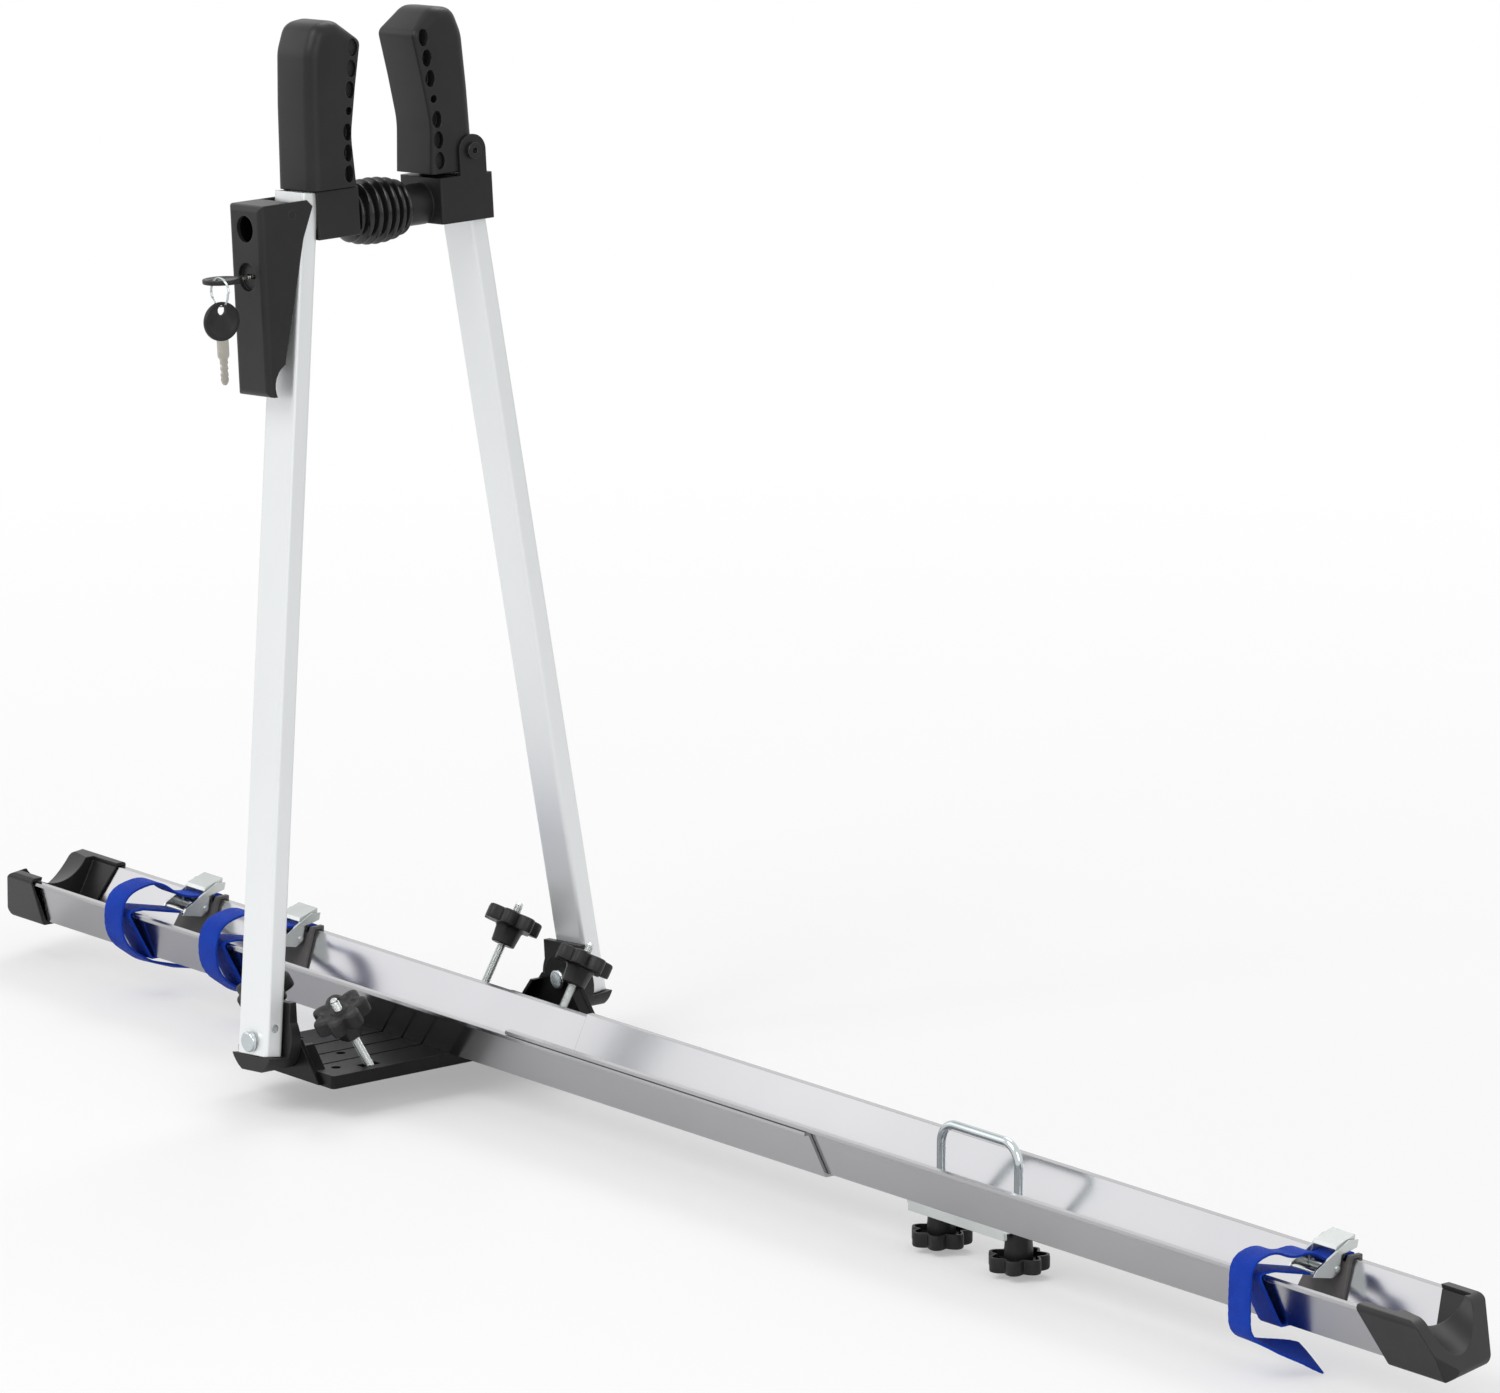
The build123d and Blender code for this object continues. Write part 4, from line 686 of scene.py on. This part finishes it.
bpy.ops.mesh.primitive_plane_add(size=1 * mm)
bellows = begin("rod_bellows")
bpy.ops.mesh.merge(type="CENTER")
spot = Vector((rib_profile(0.0), 0, 0))
move_points(bellows, lambda co: spot)
for number in range(1, rib_steps + 1):
    share = number / rib_steps
    step = Vector((rib_profile(share), 0, bellows_length * share))
    bpy.ops.mesh.extrude_vertices_move(TRANSFORM_OT_translate={"value": step - spot})
    spot = step
bpy.ops.mesh.select_all(action="SELECT")
bpy.ops.mesh.spin(steps=72, angle=2 * pi, center=(0, 0, 0), axis=(0, 0, 1))
rest()
tidy_surface(bellows, 80)
modifier(bellows, "SOLIDIFY", thickness=bellows_wall, offset=-1.0)
place(bellows, frame_point(0, -bellows_near, rod_height), lean_x, (0, 1, 0))
bellows.data.materials.append(black_rubber)
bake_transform(bellows)
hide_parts("clamp_bellows")
print("bellows:", len(bellows.data.vertices), "points")


# %% [markdown]
# ## Jaws
# Two thumb shaped jaws close on the bicycle's frame tube. They are moulded with a large
# round at the back and a small one along the palm. A grid is bent round the outline, and its
# outer columns step in by the radius of the round at each point. The slots are then cut with
# a Boolean, which is quicker than drawing them into the grid.

# %% Bend a grid into a jaw
jaw_half, jaw_inner, jaw_foot = 21.0, 31.0, 564.0
jaw_outline = [
    (38, 0), (36.2, 56), (34, 92), (27, 110), (9, 112), (-9.5, 96), (-3.4, 66), (2.2, 34), (0, 0),
]
jaw_corner_radii = [60, 30, 12, 14, 7, 60, 60]
back_round, palm_round = 8.5, 3.5


def jaw_rows():
    """Points of the outline, their inward directions and the radius of the round there."""
    points = rounded(jaw_outline, jaw_corner_radii)
    tip = min(range(len(points)), key=lambda n: points[n].x)
    rows = []
    for number, point in enumerate(points):
        if number in (0, len(points) - 1):
            inward = Vector((-1 if number == 0 else 1, 0))
        else:
            along = (points[number + 1] - points[number - 1]).normalized()
            inward = Vector((-along.y, along.x))
        radius = palm_round
        if number < tip:
            radius += (back_round - palm_round) * min(1.0, max(0.0, (point.x + 9) / 12))
        rows.append((point, inward, radius))
    return rows


def model_jaw(name, side):
    """A jaw in the A-frame's own place, in metres, without its slots."""
    rows = jaw_rows()
    turns = [radians(15 * number) for number in range(7)]
    columns = [(-1, turn) for turn in turns] + [(1, turn) for turn in reversed(turns)]
    last_column, last_row = len(columns) - 1, len(rows) - 1
    bpy.ops.mesh.primitive_grid_add(x_subdivisions=last_column, y_subdivisions=last_row, size=2)
    jaw = begin(name)

    def to_jaw(co):
        flank, turn = columns[round((co.x + 1) / 2 * last_column)]
        point, inward, radius = rows[round((co.y + 1) / 2 * last_row)]
        spot = point + inward * radius * (1 - sin(turn))
        x = flank * (jaw_half - radius * (1 - cos(turn)))
        return Vector((x, side * (jaw_inner + spot.x), jaw_foot + spot.y)) * mm

    def on_flank(edge):
        flat = all(abs(point.co.x - edge_x) < merge_distance for point in edge.verts)
        return edge.is_boundary and flat

    move_points(jaw, to_jaw)
    for edge_x in (-jaw_half * mm, jaw_half * mm):
        pick(jaw, "edges", on_flank)
        bpy.ops.mesh.edge_face_add()
    pick(jaw, "edges", lambda edge: edge.is_boundary)
    bpy.ops.mesh.edge_face_add()
    bpy.ops.mesh.select_all(action="SELECT")
    bpy.ops.mesh.normals_make_consistent(inside=False)
    rest()
    return jaw


# %% Cut the slots and set the jaws
slot_count, slot_inset, slot_depth, hook = 7, 6.8, 6.0, 8.0
slot_size, middle_slot_size = (12.0, 7.6), (5.6, 5.6)
jaw_height, lowest_share, span_share = 110, 0.08, 0.76


def slot_cutter(side):
    """Fourteen slot shapes, seven for each flank, joined in one object."""
    parts = []
    for number in range(slot_count):
        share = number / (slot_count - 1)
        lean_in = hook * max(0.0, share - 0.3) / 0.7
        up = jaw_foot + jaw_height * (lowest_share + span_share * share)
        across = side * (jaw_inner + slot_inset - lean_in)
        turn = side * radians(16 - 40 * share)
        length, width = middle_slot_size if number == slot_count // 2 else slot_size
        for flank in (-1, 1):
            bpy.ops.mesh.primitive_cylinder_add(
                vertices=12, radius=0.5, depth=1, rotation=(turn, pi / 2, 0),
                location=Vector((flank * jaw_half, across, up)) * mm,
                scale=(length * mm, width * mm, 2 * slot_depth * mm),
            )
            parts.append(begin("slot_shape"))
            rest()
    for part in parts:
        part.select_set(True)
    bpy.context.view_layer.objects.active = parts[0]
    bpy.ops.object.join()
    rest()
    return parts[0]


for word, side, body in (("near", -1, "a_frame"), ("far", 1, "far_arm_group")):
    jaw = model_jaw(f"{word}_grip", side)
    cutter = slot_cutter(side)
    modifier(jaw, "BOOLEAN", operation="DIFFERENCE", solver="EXACT", object=cutter)
    bpy.data.objects.remove(cutter)
    tidy_surface(jaw, 40)
    place(jaw, Vector((0, 0, pivot_height)) * mm, lean_x, lean_up)
    jaw.data.materials.append(black_plastic)
    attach(jaw, body)
    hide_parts(f"{word}_jaw")
    print(jaw.name, "has", len(jaw.data.polygons), "faces")

# %% [markdown]
# ## Star knobs
# Six knobs of one mould pull the carrier down. Each is a disc with seven lobes and a faceted
# hub that tapers towards the thread. A circle is pulled into a star, extruded, inset for the
# dished top, and its underside is inset and extruded into the hub. One knob is modelled for
# each hub length and then copied.

# %% Model a star knob
knob_lobes = 7
knob_points = 84
knob_radius = 20 * mm
knob_disc = 10 * mm
knob_half = knob_disc / mm / 2
stud_hole = 3.15 * mm
valley_share = 0.735


def lobe_radius(angle):
    """Outline of the star at an angle: full at a lobe's tip, drawn in at a valley."""
    wave = 0.5 + 0.5 * cos(knob_lobes * angle)
    return knob_radius * (valley_share + (1 - valley_share) * wave**0.62)


def facet_radius(angle, radius):
    """A rounded seven sided outline for the hub."""
    step = 2 * pi / knob_lobes
    local = (angle % step) - step / 2
    return radius * (0.5 + 0.5 * cos(step / 2) / cos(local))


def reshape(piece, outline, level):
    """Puts the selected points of an edited mesh on an outline at one level."""
    mesh = bmesh.from_edit_mesh(piece.data)
    for point in mesh.verts:
        if point.select:
            angle = atan2(point.co.y, point.co.x)
            radius = outline(angle)
            point.co = Vector((radius * cos(angle), radius * sin(angle), level))
    bmesh.update_edit_mesh(piece.data)


def model_knob(name, hub_length, hollow=0.0):
    """A star knob along Z whose hub starts at the origin."""
    top = hub_length + knob_disc
    bpy.ops.mesh.primitive_circle_add(vertices=knob_points, radius=knob_radius, fill_type="NGON")
    knob = begin(name)
    bpy.ops.mesh.select_all(action="SELECT")
    reshape(knob, lobe_radius, hub_length)
    rings = [
        (lambda a: lobe_radius(a) + 0.3 * mm, hub_length + 2.0 * mm),
        (lambda a: lobe_radius(a) + 0.3 * mm, top - 1.6 * mm),
        (lambda a: lobe_radius(a) - 0.2 * mm, top - 0.5 * mm),
        (lambda a: lobe_radius(a) - 1.3 * mm, top),
        (lambda a: 0.55 * lobe_radius(a) + 3.2 * mm, top),
        (lambda a: 0.50 * lobe_radius(a) + 2.6 * mm, top - 0.9 * mm),
        (lambda a: 6.6 * mm, top - 0.9 * mm),
        (lambda a: 6.1 * mm, top - 0.2 * mm),
        (lambda a: stud_hole + 0.5 * mm, top - 0.2 * mm),
        (lambda a: stud_hole, top - 0.8 * mm),
    ]
    for outline, level in rings:
        bpy.ops.mesh.extrude_region_move(TRANSFORM_OT_translate={"value": (0, 0, 0.1 * mm)})
        reshape(knob, outline, level)
    middle = hub_length + knob_disc / 2
    pick(knob, "faces", lambda face: len(face.verts) == knob_points and face.verts[0].co.z < middle)
    under = [(lambda a: lobe_radius(a) - 1.6 * mm, hub_length)]
    if hollow:
        under += [
            (lambda a: lobe_radius(a) - 1.9 * mm, hub_length + hollow),
            (lambda a: facet_radius(a, 9.6 * mm), hub_length + hollow),
        ]
    else:
        under += [(lambda a: facet_radius(a, 11.0 * mm), hub_length - 0.6 * mm)]
    under += [
        (lambda a: facet_radius(a, 9.6 * mm), hub_length - 2.4 * mm),
        (lambda a: facet_radius(a, 8.6 * mm), 0.7 * mm),
        (lambda a: facet_radius(a, 8.0 * mm), 0.0),
        (lambda a: stud_hole, 0.0),
    ]
    for outline, level in under:
        bpy.ops.mesh.extrude_region_move(TRANSFORM_OT_translate={"value": (0, 0, -0.1 * mm)})
        reshape(knob, outline, level)
    pick(knob, "faces", lambda face: len(face.verts) == knob_points)
    bpy.ops.mesh.delete(type="ONLY_FACE")
    pick(knob, "edges", lambda edge: edge.is_boundary)
    bpy.ops.mesh.bridge_edge_loops()
    rest()
    tidy_surface(knob, 32)
    knob.data.materials.append(black_plastic)
    return knob


# %% Put a knob on every bolt
bolt_lean = radians(31)
bolt_foot = (43.0, 76.0, 4.5)
knob_places = {"near_front": 50.0, "near_rear": 50.0, "far_front": 66.0, "far_rear": 54.0}
hub_length = 13.0
first_knob = model_knob("pattern_knob", hub_length * mm)


def bolt_axis(word):
    """Foot and direction of a swing bolt."""
    side = -1 if word.startswith("near") else 1
    end = -1 if word.endswith("front") else 1
    foot = Vector((end * bolt_foot[0], side * bolt_foot[1], bolt_foot[2])) * mm
    return foot, Vector((0, side * sin(bolt_lean), cos(bolt_lean)))


for word, centre in knob_places.items():
    foot, direction = bolt_axis(word)
    knob = copy_of(first_knob, f"swing_knob_{word}")
    start = foot + direction * (centre - knob_half - hub_length) * mm
    place(knob, start, (1, 0, 0), direction)
    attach(knob, f"{word}_knob_group")
    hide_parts(f"{word}_knob")
bpy.data.objects.remove(first_knob)

rear_hub_top = 7.7
rear_knob_bottom = -18.5
rear_hub = rear_hub_top - rear_knob_bottom - knob_disc / mm
first_knob = model_knob("pattern_knob", rear_hub * mm, hollow=5 * mm)
for word, x in (("front", 545.75), ("rear", 622.25)):
    knob = copy_of(first_knob, f"clamp_knob_{word}")
    place(knob, Vector((x, 0, rear_hub_top)) * mm, (1, 0, 0), (0, 0, -1))
    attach(knob, f"rear_clamp_{word}_knob_group")
    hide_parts(f"rear_clamp_{word}_knob")
bpy.data.objects.remove(first_knob)
print("six knobs in place")


# %% [markdown]
# ## Threaded studs
# The swing bolts are threaded all along. A thread is a helical ridge on a core: a cylinder
# with chamfered ends is the core, and a small triangle, wound up it by the Screw modifier,
# is the ridge. The barrel at the foot is the bolt's own pivot.

# %% Wind a thread on each stud
thread_pitch = 1.0 * mm
thread_radius = 3.0 * mm
thread_root, thread_half = 2.4 * mm, 0.44 * mm
core_radius = 2.55 * mm
barrel_radius, barrel_length = 3.6 * mm, 12 * mm
plain_foot, plain_ends, stud_beyond_knob = 4 * mm, 6 * mm, 8


def model_stud(name, length):
    """A threaded stud along Z with its barrel at the origin."""
    bpy.ops.mesh.primitive_cylinder_add(
        vertices=24, radius=core_radius, depth=length, location=(0, 0, length / 2)
    )
    core = begin(name)
    pick(core, "faces", lambda face: face.normal.z > 0.9)
    bpy.ops.mesh.bevel(offset=0.8 * mm, segments=1)
    rest()
    bpy.ops.mesh.primitive_circle_add(vertices=3, radius=0.5 * mm, fill_type="NOTHING")
    ridge = begin("ridge")
    corners = iter([(thread_root, -thread_half), (thread_radius, 0.0), (thread_root, thread_half)])

    def to_corner(co):
        radius, level = next(corners)
        return Vector((radius, 0, level + plain_foot))

    move_points(ridge, to_corner)
    rest()
    turns = int((length - plain_ends) / thread_pitch)
    modifier(
        ridge, "SCREW", axis="Z", screw_offset=thread_pitch, iterations=turns, steps=16,
        render_steps=16,
    )
    cap_ends(ridge)
    bpy.ops.mesh.primitive_cylinder_add(
        vertices=32, radius=barrel_radius, depth=barrel_length, rotation=(0, pi / 2, 0)
    )
    barrel = begin("barrel")
    pick(barrel, "faces", lambda face: len(face.verts) > 4)
    bpy.ops.mesh.bevel(offset=0.4 * mm, segments=2)
    rest()
    for item in (core, ridge, barrel):
        item.select_set(True)
    bpy.context.view_layer.objects.active = core
    bpy.ops.object.join()
    rest()
    tidy_surface(core, 40)
    core.data.materials.append(zinc_plate)
    return core


for word, centre in knob_places.items():
    foot, direction = bolt_axis(word)
    length = (centre + knob_half + stud_beyond_knob) * mm
    stud = model_stud(f"threaded_stud_{word}", length)
    place(stud, foot, (1, 0, 0), direction)
    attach(stud, f"{word}_bolt_group")
    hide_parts(f"{word}_bolt")
print("four studs in place")

# %% [markdown]
# ## Split ring and key heads
# The ring is a wire wound twice, so the Screw modifier winds it too. The keys' moulded heads
# are bevelled ovals with a sunk field, and a drill cuts the ring's hole through each.

# %% Wind the split ring
ring_radius = 9.6 * mm
ring_low, ring_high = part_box("key_ring")
ring_centre = (ring_low + ring_high) / 2
wire_radius = 0.45 * mm
coil_pitch = 2 * wire_radius
bpy.ops.mesh.primitive_circle_add(vertices=12, radius=wire_radius, fill_type="NOTHING")
ring = begin("split_ring")
move_points(ring, lambda co: Vector((ring_radius + co.x, 0, co.y - coil_pitch)))
rest()
modifier(ring, "SCREW", axis="Z", screw_offset=coil_pitch, iterations=2, steps=64, render_steps=64)
cap_ends(ring)
tidy_surface(ring, 60)
place(ring, ring_centre, lean_x, (0, 1, 0))
ring.data.materials.append(bright_plate)
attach(ring, "ring_group")
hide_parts("key_ring")
print("split ring round", [round(v, 4) for v in ring_centre])


# %% Mould the key heads
head_half_width, head_half_length, head_thickness = 14.0 * mm, 13.0 * mm, 3.2 * mm
hole_radius, hole_from_end, drill_length = 3.4 * mm, 5.4 * mm, 20 * mm
key_edge_round = 0.25 * mm


def model_key_head(name):
    """An oval head in the XY plane, its hole towards -Y."""
    bpy.ops.mesh.primitive_cylinder_add(
        vertices=56, radius=1, depth=1, scale=(head_half_width, head_half_length, head_thickness)
    )
    head = begin(name)
    pick(head, "faces", lambda face: len(face.verts) > 4)
    bpy.ops.mesh.bevel(offset=0.7 * mm, segments=3)
    pick(head, "faces", lambda face: len(face.verts) > 4)
    bpy.ops.mesh.inset(thickness=2.6 * mm, use_individual=True)
    bpy.ops.mesh.inset(thickness=0.4 * mm, depth=-0.3 * mm, use_individual=True)
    rest()
    hole_at = -head_half_length + hole_from_end
    bpy.ops.mesh.primitive_cylinder_add(
        vertices=32, radius=hole_radius, depth=drill_length, location=(0, hole_at, 0)
    )
    drill = begin("drill")
    rest()
    modifier(head, "BOOLEAN", operation="DIFFERENCE", solver="EXACT", object=drill)
    bpy.data.objects.remove(drill)
    modifier(
        head, "BEVEL", width=key_edge_round, segments=2, limit_method="ANGLE", angle_limit=radians(60)
    )
    tidy_surface(head, 40)
    head.data.materials.append(black_plastic)
    return head


print("key head", round(2 * head_half_width / mm, 1), "mm wide")

# %% [markdown]
# ## Key blades
# A blade is a flat strip: wide at its shoulder, then narrow with cuts along both edges. A
# grid is added, each of its rows is drawn in to the width of the blade there, and Solidify
# gives the sheet its thickness.

# %% Cut the blades and hang the keys
blade_half_widths = [4.3] * 9 + [
    4.1, 2.9, 2.6, 2.9, 2.2, 2.6, 2.8, 2.1, 2.5, 2.8, 2.3, 2.7, 2.5, 1.9, 0.8,
]
blade_thickness, blade_sunk = 2.0 * mm, 1.5 * mm


def model_key_blade(name, length):
    """A blade in the XY plane that runs from inside the head towards +Y."""
    rows = len(blade_half_widths) - 1
    bpy.ops.mesh.primitive_grid_add(x_subdivisions=2, y_subdivisions=rows, size=2)
    blade = begin(name)
    start = head_half_length - blade_sunk

    def to_row(co):
        share = (co.y + 1) / 2
        width = blade_half_widths[round(share * rows)] * mm
        return Vector((co.x * width, start + length * share, 0))

    move_points(blade, to_row)
    rest()
    modifier(blade, "SOLIDIFY", thickness=blade_thickness, offset=0.0)
    modifier(
        blade, "BEVEL", width=key_edge_round, segments=2, limit_method="ANGLE", angle_limit=radians(50)
    )
    tidy_surface(blade, 35)
    blade.data.materials.append(key_plate)
    return blade


lock_height, lock_face, key_out = 511.0, 111.75, 7.0
head_y = lock_face + key_out + head_half_length / mm
key_places = {
    "lock": ("lock_group", frame_point(0, -head_y, lock_height), lean_x, lean_up, 16 * mm),
    "spare": ("spare_key_group", frame_point(6.829, -139.35, 485.35), (0, -1, 0), lean_x, 31 * mm),
}
for word, (body, spot, across, normal, length) in key_places.items():
    head = model_key_head(f"{word}_key_head")
    blade = model_key_blade(f"{word}_key_blade", length)
    for part, slot in ((head, "black_plastic"), (blade, "key_steel")):
        place(part, spot, across, normal)
        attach(part, body)
        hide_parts(f"{word}_key")
    print(word, "key at", [round(v / mm, 1) for v in spot])

# %% [markdown]
# ## Ground and world
# The photograph has a plain white ground. A sheet of pale paper takes the soft shadow. Away
# from the carrier the camera sees the paper as pure white, which Light Path does in its
# material, and the world is white to the camera and in reflections but lights the object
# less.

# %% Floor and world
floor_gap = 0.6 * mm
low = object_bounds()[0]
bpy.ops.mesh.primitive_plane_add(size=60.0, location=(0.3, 0, low.z - floor_gap))
floor = bpy.context.object
floor.name = "pale_floor"
paper = bpy.data.materials.new("pale_paper")
paper.use_nodes = True
tree = paper.node_tree
paper_shader = tree.nodes["Principled BSDF"]
paper_shader.inputs["Base Color"].default_value = (0.90, 0.90, 0.90, 1)
paper_shader.inputs["Roughness"].default_value = 0.9
paper_shader.inputs["Specular IOR Level"].default_value = 0.0
floor.data.materials.append(paper)
spot = node(tree, "TexCoord")
reach = node(tree, "VectorMath", operation="LENGTH")
away = node(tree, "MapRange", {"From Min": 0.35, "From Max": 2.2, "To Min": 0.35})
rays = node(tree, "LightPath")
white = node(tree, "Emission", {"Strength": 1.0})
shared = node(tree, "MixShader")
tree.links.new(spot.outputs["Object"], reach.inputs[0])
tree.links.new(reach.outputs["Value"], away.inputs["Value"])
fade = math(tree, "MULTIPLY", away.outputs[0], rays.outputs["Is Camera Ray"])
tree.links.new(fade, shared.inputs["Fac"])
tree.links.new(paper_shader.outputs[0], shared.inputs[1])
tree.links.new(white.outputs[0], shared.inputs[2])
tree.links.new(shared.outputs[0], tree.nodes["Material Output"].inputs["Surface"])

world = bpy.data.worlds.new("studio")
bpy.context.scene.world = world
world.use_nodes = True
sky = world.node_tree
sky.nodes.clear()
rays = node(sky, "LightPath")
seen = math(sky, "MAXIMUM", rays.outputs["Is Camera Ray"], rays.outputs["Is Glossy Ray"])
seen = math(sky, "MAXIMUM", seen, rays.outputs["Is Transmission Ray"])
strength = math(sky, "ADD", math(sky, "MULTIPLY", seen, 0.45), 0.55)
ground = node(sky, "Background", {"Color": (1, 1, 1, 1)})
sky_output = node(sky, "OutputWorld")
sky.links.new(strength, ground.inputs["Strength"])
sky.links.new(ground.outputs[0], sky_output.inputs["Surface"])
print("ground and world ready")

# %% [markdown]
# ## Lamps
# Four large area lamps give the slow gradients on the metal. The rail's inner wall leans
# back, so seen from the camera it mirrors a place low on the left: a broad lamp stands
# there, and the wall comes out brighter than the outer side, which mirrors the ground.

# %% Lamps
lamp_table = {
    "key_softbox": ((0.2, -3.2, 3.6), (2.6, 2.6), 85.0),
    "fill_softbox": ((4.2, -1.0, 2.2), (2.4, 2.4), 35.0),
    "top_softbox": ((-1.5, 2.4, 3.6), (2.0, 2.0), 45.0),
    "left_softbox": ((-2.7, -2.0, 1.35), (2.4, 2.0), 10.0),
}
for name, (spot, size, power) in lamp_table.items():
    bpy.ops.object.light_add(type="AREA", location=spot)
    lamp = bpy.context.object
    lamp.name = name
    lamp.data.shape = "RECTANGLE"
    lamp.data.size, lamp.data.size_y = size
    lamp.data.energy = power
    lamp.rotation_euler = (Vector(spot) - camera_target).to_track_quat("Z", "Y").to_euler()
bpy.context.scene.view_settings.view_transform = "Standard"
print(len(lamp_table), "lamps in place")
